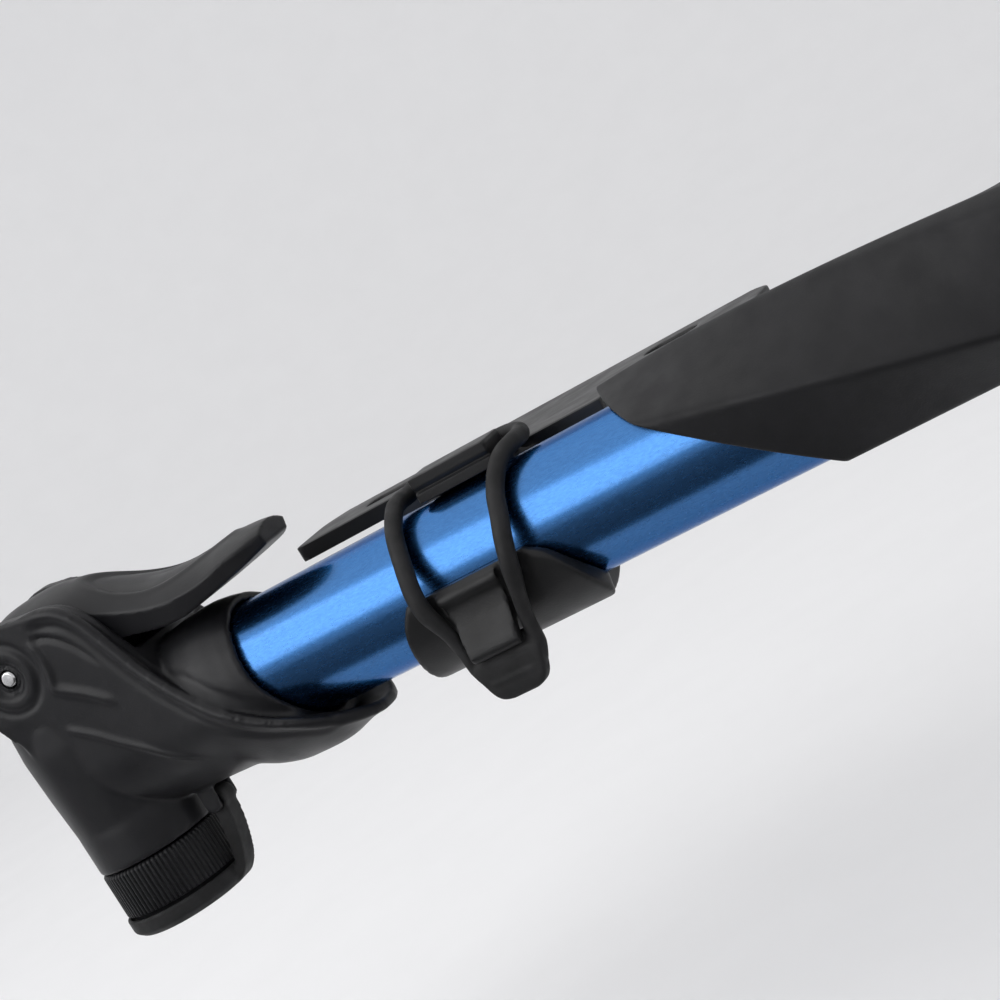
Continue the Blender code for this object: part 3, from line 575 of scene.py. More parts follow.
def head_hull():
    """The cheeks' outer sides, which round into a scoop under the barrel."""
    low_z, high_z = CHEEK_Z
    sections = []
    for x in np.linspace(HEAD_DEPTHS[0][0], HEAD_DEPTHS[-1][0], 60):
        half, depth = read_curve(HEAD_HALF_WIDTHS, x), read_curve(HEAD_DEPTHS, x)
        low_half = half - REAR_INSET * (1 - float(ease(x, *REAR_INSET_X)))
        under = [(x, low_half * math.cos(a), -depth * math.sin(a)) for a in half_circle(60)]
        near, far = [(x, half, high_z), (x, half, low_z)], [(x, -half, low_z), (x, -half, high_z)]
        sections.append(near + under + far)
    return loft(sections)


def head_side():
    """The cheeks from the side: the ears, the falling rim and the scoop's tip."""
    turns = [math.radians(190 - 4 * i) for i in range(30)]
    ear = [(EAR_R * math.cos(a), PIN.z + EAR_R * math.sin(a)) for a in turns]
    return side_prism(ear + smooth_outline(HEAD_RIM, 6) + HEAD_FOOT, -25, 25)


def tip_plan():
    """The scoop from above: a tongue with a rounded end."""
    side = 18
    end = [(TIP_X - TIP_ROUNDING * y * y, y) for y in range(-side, side + 1)]
    outline = [(CUT_LOW, -side), *end, (CUT_LOW, side)]
    return loft([[(x, y, z) for x, y in outline] for z in (CUT_LOW, CUT_HIGH)])


def far_rim():
    """A cutter which lowers the far cheek's rim, so that it stays behind the lever."""
    outline = [*FAR_RIM, (FAR_RIM[-1][0], CUT_HIGH), (FAR_RIM[0][0], CUT_HIGH)]
    return side_prism(outline, 6, 20)


def on_cheek(x, z, side):
    """The point of the cheek's outer side at a place seen from the side."""
    half, depth = read_curve(HEAD_HALF_WIDTHS, x), read_curve(HEAD_DEPTHS, x)
    bulge = math.sqrt(max(0.02, 1 - (z / depth) ** 2)) if z < 0 else 1.0
    return Vector((x, side * half * bulge, z))


def cheek_path(route, side):
    return smooth_path([on_cheek(x, z, side) for x, z in route], 6)


UNDER_RIM_GROOVE = [(8.6, 25.6), (12.7, 24.3), (16.0, 21.6), (18.3, 18.4), (20.6, 14.9)]
TONGUE = [(6.8, 16.4), (10.1, 14.4), (14.2, 11.9), (19.4, 7.8)]
LOWER_CREST = [(4.2, 8.9), (9.8, 5.3), (14.5, 1.6), (18.4, -1.2), (23.0, -4.8), (29.6, -8.6)]
# Each line on a cheek: its route, height and width, and where along it it starts to fade.
CHEEK_LINES = [
    (UNDER_RIM_GROOVE, -0.5, 0.55, 0.6), (TONGUE, 0.5, 0.9, 0.75), (LOWER_CREST, 0.42, 0.6, 0.75),
]


def decorate_cheeks(mesh):
    """Raised rims, rings round the pin, and the moulded lines on the cheeks."""
    co, normals = points_of(mesh), normals_of(mesh)
    outside = ease(np.abs(co[:, 1]), 9.6, 11.4)
    facing = outside * ease(np.abs(normals[:, 1]), 0.4, 0.8)
    from_pin = np.hypot(co[:, 0], co[:, 2] - PIN.z)
    turn = np.degrees(np.arctan2(co[:, 2] - PIN.z, co[:, 0]))
    recess = -0.6 * (1 - ease(from_pin, 3.0, 3.5))
    ring = 0.35 * plateau(from_pin, (3.6, 4.0), (5.4, 6.0))
    groove = -0.3 * bump_at(from_pin - 6.7, 0.55)
    crescent = 0.5 * plateau(turn, (-42, -26), (16, 30)) * bump_at(from_pin - 9.2, 0.75)
    lift = facing * (recess + ring + groove + crescent)
    for side in (-1, 1):
        near = outside * (co[:, 1] * side > 0)
        away, along = distance_to(co, cheek_path(HEAD_RIM, side))
        bead = 0.42 * bump_at(away - 0.9, 0.8) - 0.34 * bump_at(away - 2.9, 0.9)
        lift += near * bead * ease(along, 0.0, 0.08)
        for route, height, width, fade in CHEEK_LINES:
            away, along = distance_to(co, cheek_path(route, side))
            lift += near * height * plateau(along, (0.0, 0.12), (fade, 1.0)) * bump_at(away, width)
    move_points(mesh, co + lift[:, None] * normals)


def lean_mouth(bm):
    """Leans the end of a solid round the barrel, so that it reaches further underneath."""
    for vert in bm.verts:
        vert.co.x += float(ease(vert.co.x, *MOUTH_X)) * read_curve(MOUTH_LEAN, vert.co.z)
    return bm


def nozzle_housing():
    """The upright round body over the nozzle, a little flat at its sides."""
    housing = turned(rounded(HOUSING, 0.5), 100)
    for vert in housing.verts:
        vert.co.y *= 1 - HOUSING_FLATNESS * float(ease(vert.co.z, *HOUSING_FLAT_Z))
    return housing


def band_lug(low_y):
    """One of the two lugs under the scoop that hold the dust cap's band between them."""
    foot = [(EYE.x + LUG_R * math.cos(a), EYE.z - LUG_R * math.sin(a)) for a in half_circle(16)]
    outline = [(EYE.x - LUG_R, LUG_TOP_Z), (EYE.x + LUG_R, LUG_TOP_Z), *foot]
    return side_prism(outline, low_y, low_y + LUG_THICKNESS)


def pin_hole(segments):
    return along_y(turned(bar_profile(PIN_HOLE_R, -20, 20), segments), PIN)


def soften_head(mesh):
    """Evens out the flanks, the rear and the scoop, where the real moulding flows more."""
    co = points_of(mesh)
    x, aside, depth = co[:, 0], np.abs(co[:, 1]), -co[:, 2]
    above_foot = 1 - ease(depth, 16.6, 18.8)
    flank = ease(depth, -6, 2) * ease(aside, 3, 7) * above_foot * (1 - ease(x, 30, 40))
    rear = ease(depth, -13, -5) * ease(aside, 4, 8) * above_foot * (1 - ease(x, 7, 13))
    relax(mesh, 14, flank)
    relax(mesh, 50, rear)
    relax(mesh, 12, ease(x, 34, 42))


def make_head():
    lug_inner = TETHER_HALF + GAP
    post_half = lug_inner + LUG_THICKNESS / 2
    lever_way = [(CUT_LOW, DECK_Z), *LEVER_WAY, (LEVER_WAY[-1][0], CUT_HIGH), (CUT_LOW, CUT_HIGH)]
    steps = [
        ("INTERSECT", head_side()),
        ("INTERSECT", tip_plan()),
        ("DIFFERENCE", far_rim()),
        ("UNION", nozzle_housing()),
        ("UNION", lean_mouth(along_x(turned(SOCKET, 120)))),
        ("UNION", band_lug(lug_inner)),
        ("UNION", band_lug(-lug_inner - LUG_THICKNESS)),
        ("UNION", along_y(turned(bar_profile(EYE_POST_R, -post_half, post_half), 24), EYE)),
        ("DIFFERENCE", side_prism(lever_way, -CHEEK_GAP_HALF, CHEEK_GAP_HALF)),
        ("DIFFERENCE", along_x(turned(BARREL_WAY, 124))),
        ("DIFFERENCE", lean_mouth(along_x(turned(BARREL_CHANNEL, 124)))),
        ("DIFFERENCE", turned(bar_profile(NOZZLE_BORE_R, *NOZZLE_BORE_Z), 90)),
        ("DIFFERENCE", along_x(turned(AIR_WAY, 40))),
        ("DIFFERENCE", pin_hole(40)),
    ]
    mesh = moulded(combined(head_hull(), steps), 0.42, 5)
    scoop = ease(points_of(mesh)[:, 0], 34, 40)
    soften_head(mesh)
    decorate_cheeks(mesh)
    relax(mesh, 12, scoop)
    make_piece("head_moulding", mesh, "head_plastic", ROOT, "head_body")


def make_pin():
    low, high = span("lever_pin", "y")
    pin = along_y(turned(chamfered_bar_profile(PIN_R, low, high, PIN_CHAMFER, 0.15), 48), PIN)
    make_piece("pin", pin, "bright_steel", ROOT, "lever_pin")


# ---------------------------------------------------------------- lever

LEVER_HALF_WIDTHS = [
    (-9.5, 8.7), (20, 8.7), (26, 9.0), (32, 9.6), (38, 10.1), (44, 10.2), (50, 9.5), (54.5, 7.6), (57, 5.0),
]
# Heights along the lever: the crown of its top, the crease where its flanks start, and its underside.
LEVER_TOPS = [
    (-9.5, 24.0), (-8.3, 26.2), (-7.0, 27.6), (-5.3, 29.0), (-3.5, 29.9), (-1.6, 30.6), (2, 31.1),
    (8, 31.3), (14, 30.5), (20, 28.9), (26, 26.8), (32, 25.2), (38, 24.4), (44, 24.0), (50, 23.7),
    (54.5, 23.4), (57, 23.1),
]
LEVER_CREASES = [
    (-9.5, 23.2), (-8.3, 24.4), (-7.0, 25.2), (-5.3, 26.2), (-3.5, 26.8), (-1.6, 27.4), (2, 28.0),
    (8, 28.2), (14, 27.0), (20, 24.2), (26, 21.9), (32, 20.1), (38, 19.4), (44, 19.6), (50, 20.8),
    (57, 21.6),
]
LEVER_UNDERSIDE = [
    (-1.6, 14.2), (2, 14.3), (8, 14.7), (14, 15.6), (20, 17.2), (24, 17.4), (28, 16.7), (32, 15.9),
    (37, 15.7), (44, 16.7), (50, 17.8), (54.5, 18.8), (57, 19.6),
]
CAM_LOW, CAM_RISE, CAM_FLAT_HALF = 7.0, 2.5, 1.6
CROWN_POWER = 1.8
FLANK_INSET, FLANK_INSET_X = 0.7, (20, 32)
# The oval thumb dish in the lever's top.
DISH_X, DISH_RADII, DISH_DEPTH = 33.0, (15.5, 6.6), 0.8


def lever_stations():
    """Places along the lever: (x, underside). The first are its cam, round the pin."""
    stations = []
    for i in range(40):
        left = 1 - i / 40
        a = math.radians(90) * left
        reach = CAM_LOW + CAM_RISE * left
        x = -reach * math.sin(a) - CAM_FLAT_HALF * math.cos(a)
        stations.append((x, PIN.z - reach * math.cos(a) + CAM_FLAT_HALF * math.sin(a)))
    ends = LEVER_UNDERSIDE[0][0], LEVER_UNDERSIDE[-1][0]
    return stations + [(x, read_curve(LEVER_UNDERSIDE, x)) for x in np.linspace(*ends, 110)]


def lever_hull():
    """One body along the lever: a crowned top, a crease at its sides, then steep flanks."""
    sections = []
    for x, bottom in lever_stations():
        tables = LEVER_HALF_WIDTHS, LEVER_TOPS, LEVER_CREASES
        half, top, crease = (read_curve(table, x) for table in tables)
        height = top - crease
        turns = half_circle(48)
        crown = [(x, half * math.cos(a), crease + height * math.sin(a) ** CROWN_POWER) for a in turns]
        foot = half - FLANK_INSET * float(ease(x, *FLANK_INSET_X))
        sections.append([(x, foot, bottom), *crown, (x, -foot, bottom)])
    return loft(sections)


def make_lever():
    mesh = moulded(combined(lever_hull(), [("DIFFERENCE", pin_hole(48))]), 0.36, 4)
    co, normals = points_of(mesh), normals_of(mesh)
    top = ease(normals[:, 2], 0.5, 0.8) * ease(co[:, 2], 20, 22)
    length, width = DISH_RADII
    oval = np.hypot((co[:, 0] - DISH_X) / length, co[:, 1] / width)
    dish = DISH_DEPTH * (1 - ease(oval, 0.88, 1.02)) * (1 + np.clip(1 - oval, 0, 1))
    lip = 0.2 * bump_at(oval - 1.08, 0.07)
    co[:, 2] -= top * (dish - lip)
    move_points(mesh, co)
    make_piece("thumb_lever", mesh, "head_plastic", "lever", "lever")


# ---------------------------------------------------------------- valve end

COLLAR_R, COLLAR_NECK_R, COLLAR_BORE_R, COLLAR_MOUTH_R, COLLAR_FLOOR_Z = 12.4, 11.2, 10.1, 4.4, -26.3
COLLAR_RIBS, RIB_DEPTH, RIBS_FROM_R = 82, 0.034, 11.7
CAP_R, CAP_RECESS_R, CAP_RIM_Z, CAP_FLOOR_Z = 12.9, 12.1, -29.3, -30.6
BAND_SIDE = [
    (17.2, -15.4), (18.8, -16.4), (18.4, -21.0), (17.6, -24.5), (16.4, -28.0), (14.9, -30.8), (13.0, -32.6),
    (11.0, -33.0), (11.0, -31.2), (12.4, -30.9), (13.3, -29.8), (14.0, -27.4), (14.8, -24.2), (15.4, -20.6),
    (15.4, -17.5),
]
EYE_R, EYE_HOLE_R = 2.3, 1.4
GROMMET_BORE_R, GROMMET_R, GROMMET_CHAMFER = 3.6, 7.6, 1.2
SPRING_COILS, SPRING_R, SPRING_WIRE_R = 4, 2.2, 0.3


def make_collar():
    """The nut on the nozzle, with narrow grooves between its ribs."""
    low, high = span("valve_collar", "z")
    outline = [
        (COLLAR_MOUTH_R + 1.0, low), (COLLAR_NECK_R, low), (COLLAR_NECK_R, low + 1.4),
        (COLLAR_R, low + 1.6), (COLLAR_R, high - 0.5), (COLLAR_R - 0.5, high), (COLLAR_BORE_R, high),
        (COLLAR_BORE_R, COLLAR_FLOOR_Z), (COLLAR_MOUTH_R, COLLAR_FLOOR_Z), (COLLAR_MOUTH_R, low + 1.0),
    ]
    bm = turned(rounded(outline, 0.18, closed=True, steps=2), 8 * COLLAR_RIBS)
    for vert in bm.verts:
        if vert.co.xy.length > RIBS_FROM_R:
            wave = math.cos(math.atan2(vert.co.y, vert.co.x) * COLLAR_RIBS)
            vert.co.xy *= 1 - RIB_DEPTH * (0.5 - 0.5 * math.tanh(2.2 * wave + 0.6))
    make_piece("ribbed_collar", bm, "head_plastic", "collar", "valve_collar")


def make_dust_cap():
    """The cap under the nozzle, in one moulding with the band that hangs from the head's lugs."""
    low, _ = span("dust_cap", "z")
    outline = [
        (0, low + 0.5), (7.6, low + 0.5), (8.2, low), (11.6, low), (CAP_R, low + 1.2), (CAP_R, CAP_RIM_Z),
        (CAP_RECESS_R, CAP_RIM_Z), (CAP_RECESS_R, CAP_FLOOR_Z), (0, CAP_FLOOR_Z),
    ]
    cap = turned(rounded(outline, 0.35), 120)
    steps = [
        ("UNION", side_prism(smooth_outline(BAND_SIDE, 3), -TETHER_HALF + 0.05, TETHER_HALF - 0.05)),
        ("UNION", along_y(turned(bar_profile(EYE_R, -TETHER_HALF, TETHER_HALF, 0.3), 40), EYE)),
        ("DIFFERENCE", along_y(turned(bar_profile(EYE_HOLE_R, -5, 5), 32), EYE)),
    ]
    make_piece("dust_cap_band", moulded(combined(cap, steps), 0.34, 4), "black_rubber", "cap", "dust_cap")


def make_grommet():
    """The rubber bush under the plunger, as one fixed turned mesh that rides on no body."""
    low, high = span("valve_grommet", "z")
    profile = [
        (GROMMET_BORE_R, low), (GROMMET_R, low), (GROMMET_R, high),
        (GROMMET_BORE_R + GROMMET_CHAMFER, high), (GROMMET_BORE_R, high - GROMMET_CHAMFER),
    ]
    bush = turned(rounded(profile, 0.3, closed=True), 96)
    grommet = make_piece("valve_grommet_bush", bush, "black_rubber", None, "valve_grommet")
    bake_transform(grommet)


def make_check_spring():
    """The coil spring behind the check valve, as one fixed swept mesh that rides on no body."""
    low, high = span("check_spring")
    turns = np.linspace(0, 2 * math.pi * SPRING_COILS, 32 * SPRING_COILS)
    places = np.linspace(low + SPRING_WIRE_R, high - SPRING_WIRE_R, len(turns))
    route = [Vector((x, SPRING_R * math.cos(a), SPRING_R * math.sin(a))) for x, a in zip(places, turns)]
    coil = sweep(route, [SPRING_WIRE_R] * len(route), 12)
    spring = make_piece("coil_spring", coil, "bright_steel", None, "check_spring")
    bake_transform(spring)


# ---------------------------------------------------------------- frame clip

CLIP_X = PLATE.x
CLIP_BORE_R = 12.3
# By degrees round the barrel: the wall's outer radius, and its edges either side of CLIP_X.
CLIP_OUTER_R = [
    (0, 14.3), (20, 14.8), (50, 15.6), (75, 15.9), (120, 15.9), (160, 15.0), (205, 14.5), (268, 14.5),
]
CLIP_LEFT = [
    (0, -12.4), (8, -14.0), (18, -15.5), (35, -17.0), (60, -18.4), (74, -18.8), (90, -17.4), (110, -16.0),
    (205, -16.0), (225, -12.3), (240, -5.9), (268, -5.9),
]
CLIP_RIGHT = [
    (0, 11.6), (8, 14.6), (18, 16.4), (32, 18.0), (47, 19.0), (60, 19.2), (68, 18.5), (76, 17.3), (84, 15.9),
    (90, 15.2), (205, 15.2), (225, 13.6), (240, 10.2), (268, 10.2),
]
PLATE_HALF, PLATE_HALF_WIDTH, PLATE_THICKNESS, PLATE_CORNER = 51.0, 9.0, 3.0, 4.0
SLOT_SPACING, SLOT_LENGTH, SLOT_WIDTH = 64.0, 11.0, 5.5
ARM_X, ARM_Y = (-18.0, 26.5), 9.6
SLIVER = 0.01  # keeps the arm's faces off the plate's
GUSSET_OUTLINE, GUSSET_HALF = [(10.5, 9.5), (26.0, 10.2), (26.0, 9.0), (14.0, 1.5), (13.2, 1.5)], 3.0
JAW_X, JAW_Y, JAW_Z = (-5.9, 10.2), (-3.2, 4.4), (12.6, 17.4)
JAW_GROOVE_Y, JAW_GROOVE_Z = (-5.2, -2.6), (14.4, 15.3)
HOOK_FACE = [
    (-13.4, -0.4), (-14.8, -0.5), (-15.6, -1.2), (-15.8, -2.2), (-15.2, -3.2), (-15.2, -4.4), (-15.6, -6.4),
    (-16.5, -8.6), (-17.7, -10.8), (-18.0, -12.4), (-17.2, -13.3), (-16.2, -12.2), (-14.6, -9.6),
]
HOOK_BACK = [(-12.4, -8.6), (-12.9, -4.0)]
HOOK_HALF_WIDTHS = [(-13.3, 4.8), (-0.4, 6.2)]


def clip_wall():
    """The wall round the barrel, from the near side under it and up its back to the top."""
    first, last = CLIP_OUTER_R[0][0], CLIP_OUTER_R[-1][0]
    sections = []
    for degrees in np.linspace(first, last, 110):
        tables = CLIP_LEFT, CLIP_RIGHT, CLIP_OUTER_R
        left, right, outer = (read_curve(table, degrees) for table in tables)
        corners = [(left, CLIP_BORE_R), (right, CLIP_BORE_R), (right, outer), (left, outer)]
        section = rounded(corners, 0.5, closed=True)
        sections.append([round_barrel(CLIP_X + x, degrees, r) for x, r in section])
    return loft(sections)


def strap_hook():
    """The cleat in front: a bead, a hollow and the lip that holds the strap's pad, narrower downwards."""
    outline = smooth_outline(HOOK_FACE, 6) + HOOK_BACK
    halves = [read_curve(HOOK_HALF_WIDTHS, z) for _, z in outline]
    sides = [[(CLIP_X + side * half, y, z) for half, (y, z) in zip(halves, outline)] for side in (-1, 1)]
    return loft(sides)


def plate_slot(x):
    straight, radius = (SLOT_LENGTH - SLOT_WIDTH) / 2, SLOT_WIDTH / 2
    outline = []
    for side, start in ((1, -90), (-1, 90)):
        turns = [math.radians(start + 10 * i) for i in range(19)]
        end_x = x + side * straight
        outline += [(end_x + radius * math.cos(a), PLATE.y + radius * math.sin(a)) for a in turns]
    low_z, high_z = PLATE.z - 2, PLATE.z + 2 * PLATE_THICKNESS
    return loft([[(px, py, z) for px, py in outline] for z in (low_z, high_z)])


def clip_plate():
    """The plate under the bottle cage, cut off at its two corners away from the barrel."""
    half, width, corner = PLATE_HALF, PLATE_HALF_WIDTH, PLATE_CORNER
    outline = [
        (-half, -width), (half, -width), (half, width - corner), (half - corner, width),
        (-half + corner, width), (-half, width - corner),
    ]
    outline = rounded([(PLATE.x + x, PLATE.y + y) for x, y in outline], 1.6, closed=True)
    return loft([[(x, y, z) for x, y in outline] for z in (PLATE.z, PLATE.z + PLATE_THICKNESS)])


def make_bracket():
    near_y, top_z = PLATE.y - PLATE_HALF_WIDTH, PLATE.z + PLATE_THICKNESS
    arm_x, jaw_x = [CLIP_X + x for x in ARM_X], [CLIP_X + x for x in JAW_X]
    arm = block((arm_x[0], ARM_Y, PLATE.z + SLIVER), (arm_x[1], near_y + 1, top_z - SLIVER))
    jaw = block((jaw_x[0], JAW_Y[0], JAW_Z[0]), (jaw_x[1], JAW_Y[1], JAW_Z[1]))
    groove_low = (CLIP_X - 20, JAW_GROOVE_Y[0], JAW_GROOVE_Z[0])
    groove_high = (CLIP_X + 20, JAW_GROOVE_Y[1], JAW_GROOVE_Z[1])
    low, high = CLIP_X - 30, CLIP_X + 30
    bore = [(0, low), (CLIP_BORE_R, low), (CLIP_BORE_R, high), (0, high)]
    steps = [
        ("UNION", arm),
        ("UNION", end_prism(GUSSET_OUTLINE, CLIP_X - GUSSET_HALF, CLIP_X + GUSSET_HALF)),
        ("UNION", clip_wall()),
        ("UNION", jaw),
        ("UNION", strap_hook()),
        ("DIFFERENCE", along_x(turned(bore, 140))),
        ("DIFFERENCE", block(groove_low, groove_high)),
        *(("DIFFERENCE", plate_slot(PLATE.x + side * SLOT_SPACING / 2)) for side in (-1, 1)),
    ]
    make_piece("frame_clip", moulded(combined(clip_plate(), steps), 0.4, 4), "clip_plastic", ROOT, "bracket")


# ---------------------------------------------------------------- strap

# By degrees round the barrel: the strands get thinner towards the pad.
STRAND_R = [(-180, 1.6), (6, 1.6), (26, 1.3), (60, 1.3)]
# The strap's middle line: (x, degrees round the barrel, radius).
STRAP_ROUTE = [
    (85.6, 42, 20.2), (85.4, 37, 18.9), (85.1, 31, 17.7), (84.8, 24, 17.0), (84.2, 15, 16.7), (83.6, 6, 16.6),
    (83.3, -6, 16.1), (82.8, -26, 14.5), (81.9, -52, 13.9), (81.2, -77, 14.2), (81.1, -91, 14.5),
    (81.6, -103, 14.9), (83.4, -111, 16.2), (87.0, -116.5, 17.1), (93.0, -118, 17.3), (101.0, -116.5, 17.1),
    (104.6, -111, 16.0), (105.6, -103, 14.9), (105.3, -90, 14.4), (104.2, -76, 14.2), (103.5, -60, 13.9),
    (103.0, -42, 13.9), (103.0, -26, 14.5), (102.7, -12, 15.7), (102.0, 1, 16.5), (100.9, 13, 16.7),
    (99.8, 23, 17.0), (99.0, 31, 17.7), (98.6, 37, 18.9), (98.4, 42, 20.2),
]
# The finger pad from its end up to its crotch: (z, y, half its width, half its thickness).
TAB_STATIONS = [
    (-21.3, -15.3, 2.6, 1.0), (-20.9, -15.3, 3.9, 1.25), (-20.2, -15.3, 4.8, 1.4), (-19.0, -15.3, 5.5, 1.5),
    (-17.4, -15.2, 6.1, 1.5), (-15.0, -15.1, 6.9, 1.5), (-13.6, -14.9, 6.6, 1.3), (-11.8, -14.4, 6.0, 0.8),
]
TAB_RIDGE = [(CLIP_X - 4.0, -16.8, -17.6), (CLIP_X + 4.0, -16.8, -17.9)]


def strap_tab():
    """The finger pad: thick at its crotch, round at its end."""
    heights, *columns = zip(*TAB_STATIONS)
    sections = []
    for z in np.linspace(heights[-1], heights[0], 34):
        y, half, thick = (read_curve(list(zip(heights, column)), z) for column in columns)
        corners = rounded([(-half, -thick), (half, -thick), (half, thick), (-half, thick)], 0.8, closed=True)
        sections.append([(CLIP_X + x, y + t, z) for x, t in corners])
    return loft(sections)


def strand_shoulder(end, before):
    """The end of a strand, which bends inwards into the pad."""
    ahead = (end - before).normalized()
    inward = Vector((1 if end.x < CLIP_X else -1, 0, 0))
    bend = [end - ahead, end + ahead, end + 2.2 * ahead + 0.35 * inward, end + 3.6 * ahead + 1.0 * inward]
    route = smooth_path(bend, 4)
    return sweep(route, [STRAND_R[-1][1]] * len(route))


def make_strap():
    """One loop of rubber with its finger pad, as one fixed mesh that rides on no body."""
    path = smooth_path([round_barrel(*place) for place in STRAP_ROUTE], 6)
    radii = [read_curve(STRAND_R, math.degrees(math.atan2(-p.z, -p.y))) for p in path]
    steps = [
        ("UNION", strand_shoulder(path[0], path[4])),
        ("UNION", strand_shoulder(path[-1], path[-5])),
        ("UNION", strap_tab()),
    ]
    mesh = moulded(combined(sweep(path, radii), steps), 0.3, 5)
    co = points_of(mesh)
    from_ridge, _ = distance_to(co, TAB_RIDGE)
    co[:, 1] -= 0.2 * bump_at(from_ridge, 0.45)
    move_points(mesh, co)
    strap = make_piece("rubber_strap", mesh, "black_rubber", None, "strap_loop", "strap_tab")
    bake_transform(strap)


# ---------------------------------------------------------------- handle

HANDLE_END_X, HANDLE_BORE_R, BORE_MIDDLE_X = 254.0, 12.6, 200.0
BULKHEAD_X, ROD_HOLE_R, POCKET_R = (243.0, 247.0), 4.3, 10.0
# The slanted front: where it crosses the axis, and its slopes along Y and Z.
FRONT_CUT = (141.0, -0.15, -1.25)
FRONT_LIP = 0.35
# Each facet's direction in degrees, its distance from the axis, and its share of the twist along
# the handle and of the one that starts later.
FACETS = [(-57, 13.7, 1, 0), (13, 13.7, 1, 0), (80, 13.3, 0, 1), (160, 13.7, 0, 0.9), (233, 13.7, 0.75, 0)]
TWIST_RATE, TWIST_X, LATE_TWIST_X = 0.83, 145.0, 195.0
CORNER_R, RIDGE_SHARPNESS, RIDGE_GAIN = 16.4, 70.0, 1.004
FLARE, FLARE_X, FLARE_POWER = 0.10, 205.0, 1.5
END_CAP_SPIGOT_R = 9.6
END_CAP_FACE = [
    (13.0, 254.3), (13.2, 255.3), (11.6, 256.6), (9.4, 257.0), (9.1, 256.5), (8.3, 256.5), (8.0, 257.1),
]
ROD_R, ROD_CHAMFER = 4.0, 0.5
GUIDE_R, GUIDE_BORE_R, FLANGE_R, FLANGE_X = 10.4, 4.35, 12.0, 237.8
CATCH_GROOVE_R, CATCH_GROOVE_X = 10.9, (238.6, 240.4)
CATCH_R, CATCH_SECTION_R = 11.8, 0.62


def handle_radius(x, degrees):
    """The radius of the five facets, blended where they meet, and flared towards the handle's end."""
    twist, late = TWIST_RATE * (x - TWIST_X), TWIST_RATE * max(0.0, x - LATE_TWIST_X)
    limits = [CORNER_R]
    for direction, distance, share, late_share in FACETS:
        away = math.cos(math.radians(degrees - (direction + share * twist + late_share * late)))
        if away > 0.05:
            limits.append(distance / away)
    blended = sum(limit**-RIDGE_SHARPNESS for limit in limits) ** (-1 / RIDGE_SHARPNESS)
    flare = max(0.0, (x - FLARE_X) / (HANDLE_END_X - FLARE_X)) ** FLARE_POWER
    return blended * RIDGE_GAIN * (1.0 + FLARE * flare)


def front_x(radius, degrees):
    """Where the slanted front is at a radius and an angle round the handle."""
    base, slope_y, slope_z = FRONT_CUT
    angle = math.radians(degrees)
    return base - radius * (slope_y * math.cos(angle) + slope_z * math.sin(angle))


def handle_outline(degrees):
    """The handle's section at one angle: (x, radius) along its outside, and back through its bore."""
    radius = 15.0  # a first guess, which the loop makes agree with the slant
    for _ in range(4):
        start_x = front_x(radius, degrees)
        radius = handle_radius(start_x, degrees)
    lip, end_x, inner_x = FRONT_LIP, HANDLE_END_X, front_x(HANDLE_BORE_R, degrees)
    outline = [(start_x + 0.1 * lip, radius - lip), (start_x + 0.3 * lip, radius - 0.3 * lip)]
    outline += [(x, handle_radius(x, degrees)) for x in np.linspace(start_x + lip, end_x - 2.0, 150)]
    last = handle_radius(end_x - 2.0, degrees)
    outline += [(end_x - 1.0, 0.985 * last), (end_x - 0.25, 0.94 * last), (end_x, 0.88 * last)]
    outline += [(end_x, POCKET_R + 0.3), (end_x - 0.3, POCKET_R)]
    low, high = BULKHEAD_X
    outline += [(high, POCKET_R), (high, ROD_HOLE_R), (low, ROD_HOLE_R), (low, HANDLE_BORE_R - 0.4)]
    outline += [(low - 0.4, HANDLE_BORE_R), (BORE_MIDDLE_X, HANDLE_BORE_R), (inner_x + 1.0, HANDLE_BORE_R)]
    return outline + [(inner_x + 0.2, HANDLE_BORE_R + 0.1), (inner_x, HANDLE_BORE_R + 0.35)]


def make_handle():
    sections = []
    for degrees in np.linspace(0, 360, 240, endpoint=False):
        sections.append([round_barrel(x, degrees, radius) for x, radius in handle_outline(degrees)])
    grip = loft(sections, closed=True)
    make_piece("handle_grip", grip, "handle_plastic", "handle", "handle_shell", sharp=50)


def make_end_cap():
    low, high = span("handle_end_cap")
    spigot = [(0, low), (END_CAP_SPIGOT_R, low), (END_CAP_SPIGOT_R, END_CAP_FACE[0][1])]
    cap = along_x(turned(rounded([*spigot, *END_CAP_FACE, (0, high)], 0.3), 128))
    make_piece("grip_end_cap", cap, "handle_plastic", "handle", "handle_end_cap")


def make_rod():
    low, high = span("piston_rod")
    rod = along_x(turned(chamfered_bar_profile(ROD_R, low, high, ROD_CHAMFER, 0.2), 64))
    make_piece("pump_rod", rod, "rod_aluminium", "handle", "piston_rod")


def make_rod_guide():
    """The plug in the barrel's far end, and the ring on its flange that grips the closed handle."""
    low, high = span("rod_guide")
    groove_low, groove_high = CATCH_GROOVE_X
    profile = [
        (GUIDE_BORE_R, low), (GUIDE_R, low), (GUIDE_R, FLANGE_X), (FLANGE_R, FLANGE_X),
        (FLANGE_R, groove_low), (CATCH_GROOVE_R, groove_low), (CATCH_GROOVE_R, groove_high),
        (FLANGE_R, groove_high), (FLANGE_R, high), (6.0, high), (5.4, high - 0.8), (GUIDE_BORE_R, high - 0.8),
    ]
    guide = along_x(turned(rounded(profile, 0.2, closed=True), 128))
    make_piece("rod_guide_plug", guide, "inner_plastic", ROOT, "rod_guide")
    ring = along_x(o_ring(CATCH_R, CATCH_SECTION_R, (groove_low + groove_high) / 2))
    make_piece("catch_ring", ring, "black_rubber", ROOT, "handle_catch_ring")


# ---------------------------------------------------------------- stage

